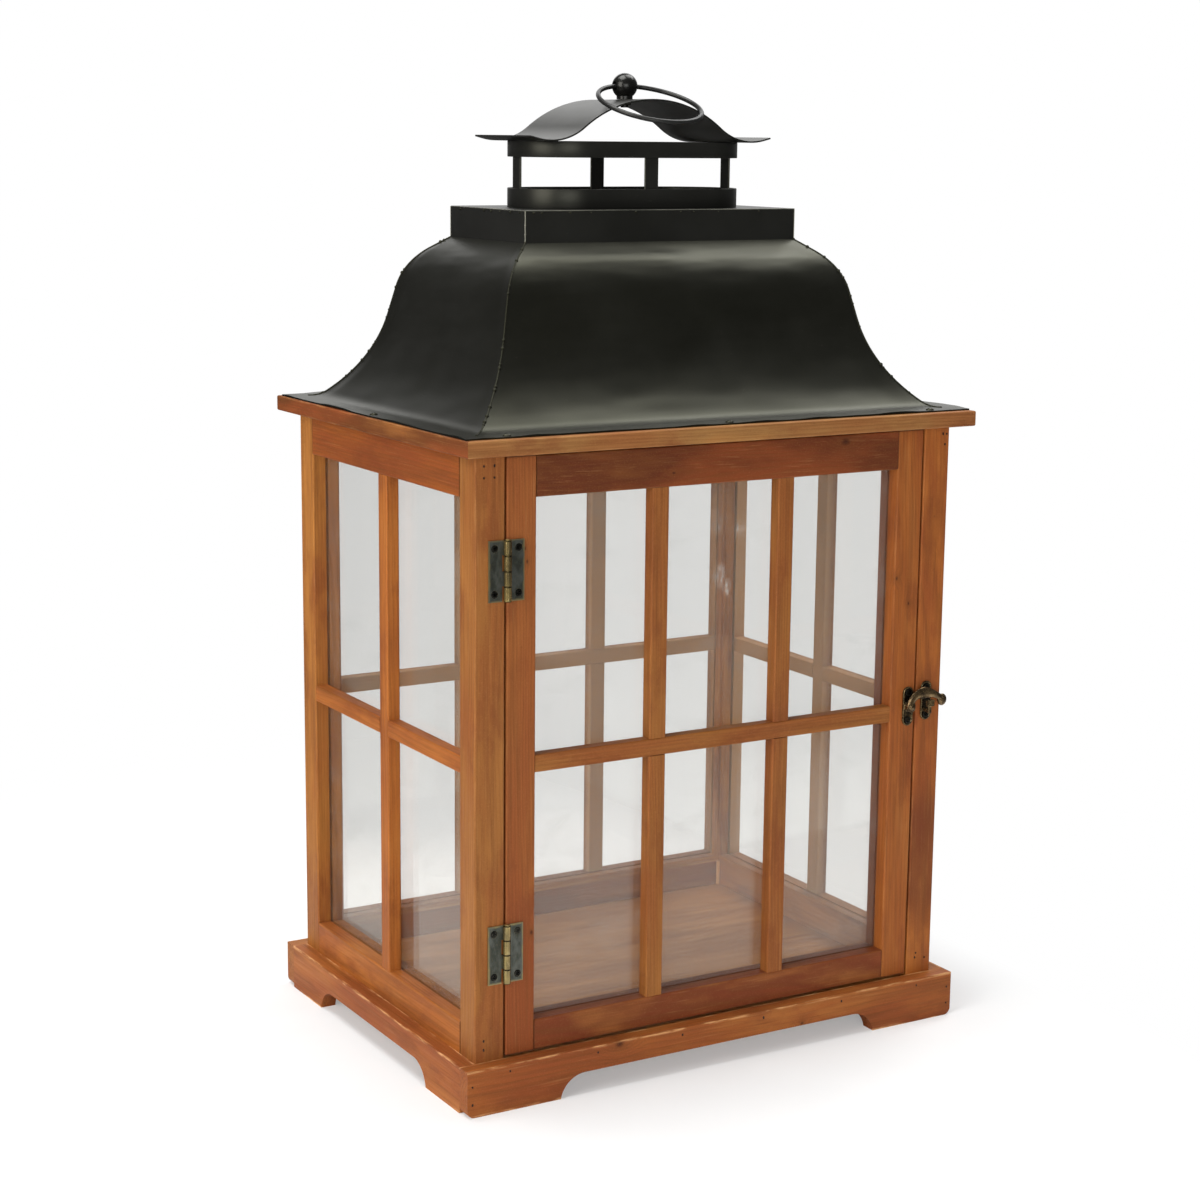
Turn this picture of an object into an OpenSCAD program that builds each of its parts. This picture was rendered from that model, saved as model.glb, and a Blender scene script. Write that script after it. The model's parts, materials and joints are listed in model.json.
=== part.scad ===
// Free-standing candle lantern.
// A glazed wooden cabinet with one hinged door stands on a bracket-foot plinth.
// A mitred cornice carries a black sheet-metal roof, and on its neck stand a
// vented cupola, a saddle-shaped cap and a ball knob with a carrying ring.
// Millimetres. +Z is up and the origin is the bottom centre of the lantern.
// The door is at the front (-Y), with its hinges at the left (-X).

/* [Cabinet] */
// Width of the cabinet across its corner posts
cabinet_w = 350; // [320:1:400]
// Depth of the cabinet across its corner posts
cabinet_d = 254; // [236:1:290]
// Height of the corner posts
post_h = 376.5; // [320:0.5:450]
// Side of the square corner posts
post_s = 20; // [18.5:0.5:24]
// Thickness of the rails and of the door, front to back
rail_t = 18; // [15:0.5:18.5]
// Height of the top rails of the windows
top_rail_h = 27; // [20:0.5:40]
// Height of the bottom rails of the windows
bottom_rail_h = 23; // [20:0.5:36]
// Radius of the eased edges of the boards
edge_r = 1; // [0.4:0.1:1.5]

/* [Glazing] */
// Thickness of the glass
glass_t = 2; // [1.5:0.1:3]
// Distance from the face of a frame back to the glass
glass_setback = 9.25; // [7:0.25:10]
// How deep the glass rebate is cut into rails, posts and stiles
rebate_d = 5; // [3:0.25:6]
// Gap between the edge of a pane and the end of its rebate
glass_margin = 0.5; // [0.2:0.1:1]
// Width of the upright glazing bars
bar_w = 12; // [8:0.5:18]
// Height of the level glazing bars
bar_h = 11; // [8:0.5:18]
// How far the glazing bars lie behind the face of their frame
bar_recess = 0.3; // [0.1:0.1:2]
// Upright glazing bars in the door and in the back
upright_bars = 2; // [1:1:3]

/* [Plinth] */
// Height of the plinth
plinth_h = 30; // [26:0.5:50]
// Thickness of the plinth boards
plinth_t = 10.5; // [8:0.5:16]
// Height of the arches between the feet
arch_h = 14.5; // [8:0.5:16]
// Radius of the curve at the ends of an arch
arch_r = 17.5; // [10:0.5:24]
// Length of board above each foot, from the corner to the level of the front arch
front_foot_l = 82.5; // [50:0.5:110]
// Length of board above each foot, from the corner to the level of the side arch
side_foot_l = 74.5; // [45:0.5:85]
// Radius of the bottom corners of the feet
foot_corner_r = 5; // [1:0.5:8]
// Thickness of the floor board
floor_t = 7; // [4:0.5:9]
// How far the floor board lies below the top of the plinth
floor_drop = 2; // [1:0.5:3]

/* [Cornice] */
// Thickness of the cornice boards
cornice_t = 10; // [8:0.5:18]
// Width of the cornice boards
cornice_board_w = 40; // [33:1:60]
// Overhang of the cornice past the sides of the cabinet
cornice_over_x = 11; // [5:0.5:20]
// Overhang of the cornice past the front and back of the cabinet
cornice_over_y = 12.5; // [5:0.5:20]

/* [Door] */
// Gap between the door and the posts
door_gap = 1.25; // [0.8:0.05:2]
// Gap between the door and the cornice
door_gap_top = 2; // [1:0.1:4]
// Gap between the door and the top of the plinth
door_gap_bottom = 1.5; // [1:0.1:4]
// Width of the door stiles
stile_w = 20; // [19:0.5:30]

/* [Hinges] */
// Height of a hinge
hinge_h = 37; // [30:0.5:50]
// Width of one hinge leaf, from the pin to its edge
leaf_w = 12; // [11.5:0.25:14]
// Thickness of a hinge leaf
leaf_t = 1; // [0.8:0.1:1.2]
// Outer radius of the hinge knuckles
knuckle_r = 2.3; // [1.8:0.1:2.6]
// Radius of the hinge pins
pin_r = 1.1; // [0.8:0.1:1.2]
// Radial clearance of the pins in the knuckles
pin_clear = 0.05; // [0.02:0.01:0.08]
// Distance of the upper hinge's middle from the top of the door
upper_hinge_drop = 67.5; // [40:0.5:110]
// Distance of the lower hinge's middle from the bottom of the door
lower_hinge_rise = 66; // [40:0.5:110]
// Distance of the leaf screws from the pin, sideways
leaf_screw_x = 8.1; // [7.6:0.1:8.6]
// Distance of the leaf screws from the middle of the hinge, up and down
leaf_screw_z = 13.7; // [8:0.1:15]

/* [Latch] */
// Height of the latch plate and of the strike plate
latch_plate_h = 26.4; // [24:0.2:36]
// Width of the latch plate and of the strike plate
latch_plate_w = 8.5; // [7.5:0.1:10]
// Thickness of the latch plate and of the strike plate
latch_plate_t = 1.2; // [1:0.1:2]
// Height of the latch pivot above the middle of the door
latch_rise = 1.5; // [-40:0.5:40]
// Distance of the latch pivot from the edge of the door
latch_inset = 5.75; // [5.25:0.25:8]
// Distance of the strike plate's middle from the edge of its post
strike_inset = 7.8; // [6:0.2:10]
// Height of the strike plate's middle above the latch pivot
strike_rise = 2.5; // [0:0.5:4]
// Distance from the latch pivot to the knob at the end of its arm
arm_reach = 25.5; // [24:0.5:34]
// Height of the latch knob above the pivot
arm_knob_rise = 4; // [0:0.5:8]
// Thickness of the latch arm
arm_t = 2; // [1.5:0.1:3]
// Radius of the knob at the end of the arm
arm_knob_r = 3.2; // [2.5:0.1:4]
// Radius of the latch rivet
rivet_r = 1.5; // [1:0.1:2]
// Radius of the head of the strike hook
strike_head_r = 3; // [2:0.1:3.6]

/* [Fasteners] */
// Head radius of the flat-head screws in hinges and latch plates
screw_head_r = 2.4; // [1.8:0.1:2.8]
// Shank radius of the flat-head screws
screw_r = 1.25; // [0.8:0.05:1.5]
// Length of the flat-head screws
screw_l = 12; // [8:0.5:13]
// Radius of the brad nails
brad_r = 0.7; // [0.5:0.05:1]
// Length of the brad nails through the plinth boards
plinth_brad_l = 22; // [18:0.5:30]
// Length of the brad nails through the corner posts
post_brad_l = 32; // [28:0.5:40]
// Head radius of the pan-head screws in the roof flange
roof_screw_head_r = 2.6; // [2:0.1:3.5]
// Shank radius of the roof screws
roof_screw_r = 1.4; // [1:0.1:1.8]
// Length of the roof screws under their heads
roof_screw_l = 9; // [7:0.5:9.5]

/* [Roof] */
// Thickness of the roof sheet
sheet_t = 1; // [0.7:0.1:1.5]
// Level distance from the neck out to the rim of the flange
roof_run = 84; // [79:0.5:90]
// Height of the roof from the cornice to the foot of the neck
roof_h = 108; // [98:0.5:128]
// Width of the flat flange round the roof
flange_w = 13; // [10:0.5:15]
// Distance of the flange rim from the ends of the cornice
rim_inset_x = 1.5; // [0.5:0.5:6]
// Distance of the flange rim from the front and back of the cornice
rim_inset_y = 5; // [0.5:0.5:8]
// Slope of the roof where it leaves the neck, in degrees
neck_slope = 36; // [32:1:40]
// Steepest slope of the roof, in degrees
wall_slope = 77; // [74:1:80]
// Slope of the roof where it reaches the flange, in degrees
eave_slope = 42; // [36:1:46]
// Radius of the rounded shoulder
shoulder_r = 43; // [30:1:50]
// Radius of the hollow flare
flare_r = 101; // [80:1:112]
// Radius of the bend into the flange
eave_r = 14; // [6:0.5:18]
// Height of the neck
neck_h = 20; // [12:0.5:30]
// How far the neck walls reach down inside the roof
neck_skirt = 4; // [2:0.5:8]

/* [Cupola] */
// Distance of the cupola from the left and right of the neck
cupola_inset_x = 19.5; // [14:0.5:24]
// Distance of the cupola from the front and back of the neck
cupola_inset_y = 14.5; // [10:0.5:18]
// Thickness of the cupola rings
band_t = 1.2; // [0.8:0.1:2]
// Height of the lower ring
lower_ring_h = 12.3; // [8:0.1:20]
// Height of the open gap between the rings
cupola_gap = 19.5; // [12:0.5:30]
// Height of the upper ring
upper_ring_h = 10; // [7:0.1:18]
// Width of the cupola posts
cupola_post_w = 10; // [6:0.5:14]
// Thickness of the cupola posts
cupola_post_t = 1.2; // [0.8:0.1:2]

/* [Cap] */
// Height of the cap from the upper ring to the top of its crest
cap_h = 26.9; // [20:0.1:36]
// Radius of the hollow at each end of the cap
cap_hollow_r = 38.5; // [25:0.5:50]
// Distance of the cap's low lines from the ends of the cupola
cap_seat_inset = 6.3; // [3:0.1:12]
// Angle through which each lip turns up, in degrees
lip_turn = 14; // [5:1:25]
// Length of the straight end of each lip
lip_l = 5.5; // [2:0.5:12]
// How far the cap stands past the front and back of the cupola
cap_over_y = 1; // [0:0.5:5]

/* [Ring] */
// Radius of the ball knob
knob_r = 8.25; // [7:0.25:11]
// Height of the ball's centre above the crest of the cap
knob_rise = 8.4; // [8.3:0.1:12]
// Radius of the collar under the ball
collar_r = 5.2; // [4:0.1:6]
// Radius of the knob's stem
stem_r = 2.5; // [1.5:0.1:3]
// Radius of the ring, to the middle of its wire
ring_r = 33.5; // [30:0.5:40]
// Radius of the ring's wire
wire_r = 1.5; // [1:0.1:1.7]
// Radius of the hole through the ball
ring_hole_r = 2.9; // [2.9:0.1:3.6]

/* [Hidden] */
$fn = 48;
cedar = "#a9673c";
cedar_dark = "#8f5230";
board_brown = "#8a5a3a";
pale_glass = [0.86, 0.88, 0.87, 0.35];
black_paint = "#34352f";
bronze = "#6e6a5c";
brass = "#b3a06c";
steel = "#4a4640";

// Clearance round screws, nails and stems in their holes
hole_clear = 0.05;
// Joint between the loose pieces of one set of bars or beads
joint_gap = 0.1;
// Clearance between moving metal pieces
moving_gap = 0.3;
// Cuts run past their faces by this much
past = 1;
// Height of the cone under a flat screw head
flat_head_h = 1;
// Height of a pan screw head
pan_head_h = 1.3;
// Width and depth of the cross recess in a screw head
recess_w = 0.5;
recess_depth = 0.5;

// Heights
floor_top = plinth_h - floor_drop;
cornice_z = floor_top + post_h;
roof_z = cornice_z + cornice_t;
neck_foot_z = roof_z + roof_h;
neck_top = neck_foot_z + neck_h;
upper_ring_z = neck_top + lower_ring_h + cupola_gap;
cupola_top = upper_ring_z + upper_ring_h;
crest_z = cupola_top + cap_h;
knob_z = crest_z + knob_rise;

// Window openings, all at one level
open_z0 = floor_top + bottom_rail_h;
open_z1 = cornice_z - top_rail_h;
open_h = open_z1 - open_z0;
open_mid = (open_z0 + open_z1) / 2;
side_open_w = cabinet_d - 2 * post_s;
back_open_w = cabinet_w - 2 * post_s;
bead_t = rail_t - glass_setback - glass_t;
bar_t = glass_setback - bar_recess;

// Door
door_w = back_open_w - 2 * door_gap;
door_z0 = plinth_h + door_gap_bottom;
door_z1 = cornice_z - door_gap_top;
door_h = door_z1 - door_z0;
door_open_w = door_w - 2 * stile_w;
pin_stand = knuckle_r + moving_gap;
pin_x = -(door_w + door_gap) / 2;
pin_y = -cabinet_d / 2 - pin_stand;
hinge_zs = [door_z0 + lower_hinge_rise, door_z1 - upper_hinge_drop];
knuckle_count = 4;
knuckle_pitch = hinge_h / knuckle_count;
pin_head_h = 1;
pin_head_r = pin_r + 0.6;

// Latch
pivot_x = door_w / 2 - latch_inset;
pivot_z = (door_z0 + door_z1) / 2 + latch_rise;
strike_x = back_open_w / 2 + strike_inset;
strike_z = pivot_z + strike_rise;
plate_screw_inset = 3.85;
plate_screw_z = latch_plate_h / 2 - plate_screw_inset;
boss_h = 1.6;
boss_r = 3;
arm_gap = 0.15;
rivet_head_r = 2.4;
rivet_head_h = 1;
eye_r = 3.4;
neck_of_hook_w = 3;
neck_of_hook_h = 2.2;
hook_head_t = 1.5;
// How far the knob of the arm stands proud of the arm, in front and behind
arm_knob_proud = 0.5;

// Plinth and cornice
plinth_x = cabinet_w / 2 + plinth_t;
plinth_y = cabinet_d / 2 + plinth_t;
cornice_x = cabinet_w / 2 + cornice_over_x;
cornice_y = cabinet_d / 2 + cornice_over_y;

// Roof, neck and cupola
rim_x = cornice_x - rim_inset_x;
rim_y = cornice_y - rim_inset_y;
neck_w = 2 * (rim_x - roof_run);
neck_d = 2 * (rim_y - roof_run);
cupola_l = neck_w - 2 * cupola_inset_x;
cupola_d = neck_d - 2 * cupola_inset_y;
vent_ledge = 5;

// Brads: distance from the middle of the front, and height
plinth_brad_count = 6;
plinth_brad_reach = cabinet_w / 2 - 19;
plinth_brads = [for (i = [0:plinth_brad_count - 1])
    [plinth_brad_reach * (2 * i / (plinth_brad_count - 1) - 1), floor_top - 2.5]];
corner_brads = [for (side = [-1, 1], z = [-10, -21.5]) [side * (plinth_x - 3.5), plinth_h + z]];
// Each post has its own, driven by hand: distance in from the side of the cabinet,
// and height over the top of the post or over the window opening
left_head_brads = [[6, -6.5], [13, -6.5], [6, -13.5], [13, -13.5]];
right_head_brads = [[5.3, -5.6], [2.3, -5.8], [3.5, -12.5]];
left_foot_brads = [[6, -7.4], [6, -13.2]];
right_foot_brads = [[12.3, -6.8], [13, -9.9], [4.8, -11.1]];
post_brads = [
    for (b = left_head_brads) [b[0] - cabinet_w / 2, cornice_z + b[1]],
    for (b = right_head_brads) [cabinet_w / 2 - b[0], cornice_z + b[1]],
    for (b = left_foot_brads) [b[0] - cabinet_w / 2, open_z0 + b[1]],
    for (b = right_foot_brads) [cabinet_w / 2 - b[0], open_z0 + b[1]],
];

// ---- Shared shapes ----

// Corners of a rectangle with eased edges, from the origin to [w, h]
function eased(w, h, r = edge_r) = [for (k = [0:3], i = [0:3])
    let (a = 90 * k + 30 * i, x = k == 0 || k == 3 ? w - r : r, y = k < 2 ? h - r : r)
    [x + r * cos(a), y + r * sin(a)]];

// Board along X, centred on x = 0, from the origin to [y, z] = [d, h]
module board_x(l, d, h) {
    translate([-l / 2, 0, 0]) rotate([90, 0, 90]) linear_extrude(l) polygon(eased(d, h));
}

// Board along Z, from the origin to [w, d, h]
module board_z(w, d, h) {
    linear_extrude(h) polygon(eased(w, d));
}

// A flat plate: a drawing in X and Z, from y_back forward (-Y) by t
module facing_plate(y_back, t) {
    translate([0, y_back, 0]) rotate([90, 0, 0]) linear_extrude(t) children();
}

// Strip with round ends, centred on the origin, h tall
module obround(w, h) {
    square([w, h - w], center = true);
    for (side = [-1, 1]) translate([0, side * (h - w) / 2]) circle(d = w);
}

// Places a piece drawn for the front face on one side of the cabinet
module on_side(side) {
    if (side == "front") translate([0, -cabinet_d / 2, 0]) children();
    if (side == "back") translate([0, cabinet_d / 2, 0]) rotate([0, 0, 180]) children();
    if (side == "left") translate([-cabinet_w / 2, 0, 0]) rotate([0, 0, -90]) children();
    if (side == "right") translate([cabinet_w / 2, 0, 0]) rotate([0, 0, 90]) children();
}

// Repeats a piece for the front and, turned round, for the back
module front_and_back() {
    children();
    rotate([0, 0, 180]) children();
}

// ---- Fasteners ----

// Flat-head screw into +Y, its head's face at the origin
module flat_screw(clear = 0) {
    rotate([-90, 0, 0]) {
        cylinder(h = flat_head_h, r1 = screw_head_r + clear, r2 = screw_r + clear);
        cylinder(h = screw_l, r = screw_r + clear);
    }
}

// Cross recess in the head of a screw that points into +Y
module cross_recess(r) {
    for (turn = [0, 90]) rotate([0, turn, 0])
        cube([1.3 * r, 2 * recess_depth, recess_w], center = true);
}

// Hole for a flat-head screw, open at the face
module flat_screw_hole() {
    flat_screw(hole_clear);
    translate([0, 0.01, 0]) rotate([90, 0, 0]) cylinder(h = past, r = screw_head_r + hole_clear);
}

// Places on the posts and on the door that hold a screw: [x, z, thickness of plate]
leaf_spots = [for (z = hinge_zs, up = [-1, 1]) [leaf_screw_x, z + up * leaf_screw_z, leaf_t]];
post_screw_spots = concat(
    [for (s = leaf_spots) [pin_x - s[0], s[1], s[2]]],
    [for (up = [-1, 1]) [strike_x, strike_z + up * plate_screw_z, latch_plate_t]]
);
door_screw_spots = concat(
    [for (s = leaf_spots) [pin_x + s[0], s[1], s[2]]],
    [for (up = [-1, 1]) [pivot_x, pivot_z + up * plate_screw_z, latch_plate_t]]
);

module at_spots(spots) {
    for (s = spots) translate([s[0], -cabinet_d / 2 - s[2], s[1]]) children();
}

module screw_set(spots) {
    color(steel) at_spots(spots) difference() {
        flat_screw();
        cross_recess(screw_head_r);
    }
}

// Brads of one set, from the face at y, into the wood
module brad_set(spots, y, l, clear = 0) {
    for (s = spots) translate([s[0], -y, s[1]]) rotate([-90, 0, 0])
        translate([0, 0, -clear]) cylinder(h = l + 2 * clear, r = brad_r + clear, $fn = 16);
}

module plinth_brad_set(clear = 0) {
    front_and_back() brad_set(concat(plinth_brads, corner_brads), plinth_y, plinth_brad_l, clear);
}

module post_brad_set(clear = 0) {
    front_and_back() brad_set(post_brads, cabinet_d / 2, post_brad_l, clear);
}

module brad_nails() {
    color(steel) {
        plinth_brad_set();
        post_brad_set();
    }
}

// ---- Plinth and floor ----

// Face of a plinth board: a strip l long with rounded lower corners and an arch
// that is level over arch_half each side of the middle
module plinth_face(l, arch_half, corner_r) {
    difference() {
        union() {
            translate([-l / 2, corner_r]) square([l, plinth_h - corner_r]);
            translate([corner_r - l / 2, 0]) square([l - 2 * corner_r, plinth_h]);
            for (side = [-1, 1]) translate([side * (l / 2 - corner_r), corner_r]) circle(corner_r);
        }
        arch_cut(arch_half);
    }
}

// Arch between two feet: a level cut that ends in an arc at each side
module arch_cut(half) {
    translate([-half, -past]) square([2 * half, arch_h + past]);
    for (side = [-1, 1]) intersection() {
        translate([side * half, arch_h - arch_r]) circle(arch_r);
        translate([-half - arch_r, -past]) square([2 * (half + arch_r), arch_h + past]);
    }
}

module plinth_long() {
    color(cedar) difference() {
        facing_plate(-cabinet_d / 2, plinth_t)
            plinth_face(2 * plinth_x, plinth_x - front_foot_l, foot_corner_r);
        plinth_brad_set(hole_clear);
    }
}

module plinth_short() {
    color(cedar) difference() {
        on_side("left") facing_plate(0, plinth_t)
            plinth_face(cabinet_d, plinth_y - side_foot_l, edge_r);
        plinth_brad_set(hole_clear);
    }
}

module plinth_front() { plinth_long(); }
module plinth_back() { rotate([0, 0, 180]) plinth_long(); }
module plinth_left() { plinth_short(); }
module plinth_right() { rotate([0, 0, 180]) plinth_short(); }

module floor_board() {
    color(board_brown) difference() {
        translate([-cabinet_w / 2, -cabinet_d / 2, floor_top - floor_t])
            cube([cabinet_w, cabinet_d, floor_t]);
        plinth_brad_set(hole_clear);
    }
}

// ---- Corner posts ----

// Corner post in the +X +Y corner, with a rebate for the side glass
// and, on a back post, another for the back glass
module corner_post(back) {
    difference() {
        translate([cabinet_w / 2 - post_s, cabinet_d / 2 - post_s, floor_top])
            board_z(post_s, post_s, post_h);
        post_rebate(cabinet_w / 2 - glass_setback, cabinet_d / 2 - post_s + rebate_d);
        if (back) post_rebate(cabinet_w / 2 - post_s + rebate_d, cabinet_d / 2 - glass_setback);
    }
}

// Cuts the inner corner of a post back to x and y, over the height of the glass
module post_rebate(x, y) {
    translate([0, 0, open_z0 - rebate_d]) cube([x, y, open_h + 2 * rebate_d]);
}

module post_front_left() {
    color(cedar) difference() {
        rotate([0, 0, 180]) corner_post(false);
        at_spots(post_screw_spots) flat_screw_hole();
        post_brad_set(hole_clear);
    }
}

module post_front_right() {
    color(cedar) difference() {
        mirror([0, 1, 0]) corner_post(false);
        at_spots(post_screw_spots) flat_screw_hole();
        post_brad_set(hole_clear);
    }
}

module post_back_left() {
    color(cedar) difference() {
        mirror([1, 0, 0]) corner_post(true);
        post_brad_set(hole_clear);
    }
}

module post_back_right() {
    color(cedar) difference() {
        corner_post(true);
        post_brad_set(hole_clear);
    }
}

// ---- Window frames ----

// Rail with a rebate on the back of the edge that holds the glass
module rebated_rail(l, z0, z1, glass_above) {
    difference() {
        translate([0, 0, z0]) board_x(l, rail_t, z1 - z0);
        translate([-l / 2 - past, glass_setback, glass_above ? z1 - rebate_d : z0 - past])
            cube([l + 2 * past, rail_t, rebate_d + past]);
    }
}

module window_top_rail(side, open_w) {
    color(cedar_dark) difference() {
        on_side(side) rebated_rail(open_w, open_z1, cornice_z, false);
        post_brad_set(hole_clear);
    }
}

module window_bottom_rail(side, open_w) {
    color(cedar_dark) difference() {
        on_side(side) rebated_rail(open_w, floor_top, open_z0, true);
        post_brad_set(hole_clear);
    }
}

module left_top_rail() { window_top_rail("left", side_open_w); }
module left_bottom_rail() { window_bottom_rail("left", side_open_w); }
module right_top_rail() { window_top_rail("right", side_open_w); }
module right_bottom_rail() { window_bottom_rail("right", side_open_w); }
module back_top_rail() { window_top_rail("back", back_open_w); }
module back_bottom_rail() { window_bottom_rail("back", back_open_w); }

// One sheet of glass, standing in the bottom of its rebate
module glass_pane(open_w) {
    half = open_w / 2 + rebate_d - glass_margin;
    translate([-half, glass_setback, open_z0 - rebate_d])
        cube([2 * half, glass_t, open_h + 2 * rebate_d - glass_margin]);
}

module left_glass() { color(pale_glass) on_side("left") glass_pane(side_open_w); }
module right_glass() { color(pale_glass) on_side("right") glass_pane(side_open_w); }
module back_glass() { color(pale_glass) on_side("back") glass_pane(back_open_w); }

// Four beads that hold a pane in its rebate from inside
module glazing_beads(open_w) {
    half = open_w / 2;
    translate([0, glass_setback + glass_t, 0]) {
        for (z = [open_z0 - rebate_d, open_z1]) translate([-half - rebate_d, 0, z])
            cube([open_w + 2 * rebate_d, bead_t, rebate_d]);
        for (x = [-half - rebate_d, half]) translate([x, 0, open_z0 + joint_gap])
            cube([rebate_d, bead_t, open_h - 2 * joint_gap]);
    }
}

// Space of the back window's beads, which the beads of the sides are notched to pass
module back_bead_space() {
    half = back_open_w / 2 + rebate_d + joint_gap;
    translate([-half, cabinet_d / 2 - rail_t - joint_gap, open_z0 - rebate_d - past])
        cube([2 * half, rail_t, open_h + 2 * (rebate_d + past)]);
}

module side_beads(side) {
    color(cedar_dark) difference() {
        on_side(side) glazing_beads(side_open_w);
        back_bead_space();
    }
}

module left_beads() { side_beads("left"); }
module right_beads() { side_beads("right"); }
module back_beads() { color(cedar_dark) on_side("back") glazing_beads(back_open_w); }

// Upright glazing bar at x
module upright_bar(x, z0, z1) {
    translate([x - bar_w / 2, bar_recess, z0]) board_z(bar_w, bar_t, z1 - z0);
}

// Level glazing bar from x0 to x1, at the middle of the opening
module level_bar(x0, x1) {
    translate([(x0 + x1) / 2, bar_recess, open_mid - bar_h / 2]) board_x(x1 - x0, bar_t, bar_h);
}

// One upright bar runs through, and the level bars butt against it
module side_bars(side) {
    half = side_open_w / 2;
    color(cedar) on_side(side) {
        upright_bar(0, open_z0, open_z1);
        level_bar(-half, -bar_w / 2 - joint_gap);
        level_bar(bar_w / 2 + joint_gap, half);
    }
}

// The level bar runs through, and the upright bars butt against it
module wide_bars(side, open_w) {
    pitch = (open_w + bar_w) / (upright_bars + 1);
    color(cedar) on_side(side) {
        level_bar(-open_w / 2, open_w / 2);
        for (i = [1:upright_bars]) {
            x = -(open_w + bar_w) / 2 + i * pitch;
            upright_bar(x, open_z0, open_mid - bar_h / 2 - joint_gap);
            upright_bar(x, open_mid + bar_h / 2 + joint_gap, open_z1);
        }
    }
}

module left_bars() { side_bars("left"); }
module right_bars() { side_bars("right"); }
module back_bars() { wide_bars("back", back_open_w); }

// ---- Door ----

// Door stile on the side of the sign, with the rebate for the glass
module door_stile(sign) {
    x0 = sign < 0 ? -door_w / 2 : door_w / 2 - stile_w;
    rebate_x = sign < 0 ? x0 + stile_w - rebate_d : x0 - past;
    color(cedar) difference() {
        on_side("front") translate([x0, 0, door_z0]) board_z(stile_w, rail_t, door_h);
        on_side("front") translate([rebate_x, glass_setback, open_z0 - rebate_d])
            cube([rebate_d + past, rail_t, open_h + 2 * rebate_d]);
        at_spots(door_screw_spots) flat_screw_hole();
    }
}

module door_hinge_stile() { door_stile(-1); }
module door_latch_stile() { door_stile(1); }

module door_top_rail() {
    color(cedar_dark) on_side("front") rebated_rail(door_open_w, open_z1, door_z1, false);
}

module door_bottom_rail() {
    color(cedar_dark) on_side("front") rebated_rail(door_open_w, door_z0, open_z0, true);
}

module door_bars() { wide_bars("front", door_open_w); }
module door_glass() { color(pale_glass) on_side("front") glass_pane(door_open_w); }
module door_beads() { color(cedar_dark) on_side("front") glazing_beads(door_open_w); }

// ---- Hinges ----

// Height of the foot of knuckle k, counted from the top, about the hinge's middle
function knuckle_z(k) = hinge_h / 2 - (k + 1) * knuckle_pitch;

// One leaf about the pin's axis: the side is -1 for the post and 1 for the door,
// and its knuckles are every second one, counted from first
module hinge_leaf(side, first, z) {
    notch = pin_stand + moving_gap;
    translate([pin_x, pin_y, z]) difference() {
        union() {
            difference() {
                translate([side < 0 ? -leaf_w : 0, pin_stand - leaf_t, -hinge_h / 2])
                    cube([leaf_w, leaf_t, hinge_h]);
                for (k = [1 - first:2:knuckle_count - 1])
                    translate([-notch, 0, knuckle_z(k) - moving_gap / 2])
                        cube([2 * notch, 2 * pin_stand, knuckle_pitch + moving_gap]);
            }
            for (k = [first:2:knuckle_count - 1]) translate([0, 0, knuckle_z(k) + moving_gap / 2])
                cylinder(h = knuckle_pitch - moving_gap, r = knuckle_r);
        }
        translate([0, 0, -hinge_h]) cylinder(h = 2 * hinge_h, r = pin_r + pin_clear);
        for (up = [-1, 1])
            translate([side * leaf_screw_x, pin_stand - leaf_t, up * leaf_screw_z]) flat_screw_hole();
    }
}

module lower_hinge_post_leaf() { color(bronze) hinge_leaf(-1, 0, hinge_zs[0]); }
module upper_hinge_post_leaf() { color(bronze) hinge_leaf(-1, 0, hinge_zs[1]); }
module lower_hinge_door_leaf() { color(bronze) hinge_leaf(1, 1, hinge_zs[0]); }
module upper_hinge_door_leaf() { color(bronze) hinge_leaf(1, 1, hinge_zs[1]); }

// Headed pins: each hangs by its head on the top knuckle, which the post leaf holds
module hinge_pins() {
    head_z = hinge_h / 2 - moving_gap / 2;
    color(brass) for (z = hinge_zs) translate([pin_x, pin_y, z]) {
        translate([0, 0, -hinge_h / 2]) cylinder(h = hinge_h / 2 + head_z, r = pin_r);
        translate([0, 0, head_z]) cylinder(h = pin_head_h, r = pin_head_r);
    }
}

module post_screws() { screw_set(post_screw_spots); }
module door_screws() { screw_set(door_screw_spots); }

// ---- Latch ----

// Depths of the latch pieces, forward from the face of the cabinet
plate_face = latch_plate_t;
arm_back = plate_face + boss_h + arm_gap;
arm_face = arm_back + arm_t;
rivet_face = arm_face + arm_gap;
hook_back = arm_face + 2 * moving_gap;

// Middle line of the latch arm, from the pivot at t = 0 to the knob at t = 1
arm_points = [[0, 0], [-1, 10.5], [arm_reach * 0.55, 14], [arm_reach, arm_knob_rise]];
function arm_axis(t) = pow(1 - t, 3) * arm_points[0] + 3 * t * pow(1 - t, 2) * arm_points[1]
    + 3 * t * t * (1 - t) * arm_points[2] + pow(t, 3) * arm_points[3];
// Half the width of the arm: widest where it lies over the strike hook
function arm_half(t) = 2.2 - 0.5 * t + 1.4 * exp(-pow((t - 0.62) / 0.13, 2));
function arm_normal(t) = let (d = arm_axis(t + 0.01) - arm_axis(t - 0.01)) [-d[1], d[0]] / norm(d);
arm_steps = 24;
arm_ts = [for (i = [0:arm_steps]) i / arm_steps];
arm_lower_edge = [for (t = arm_ts) arm_axis(t) - arm_half(t) * arm_normal(t)];
// Lowest point of the arm over the head of the strike hook, above the pivot
hook_dx = strike_x - pivot_x;
arm_over_hook = min([for (p = arm_lower_edge) if (abs(p[0] - hook_dx) < strike_head_r + 1.5) p[1]]);
hook_head_z = pivot_z + arm_over_hook - 2 * moving_gap - strike_head_r;

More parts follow.
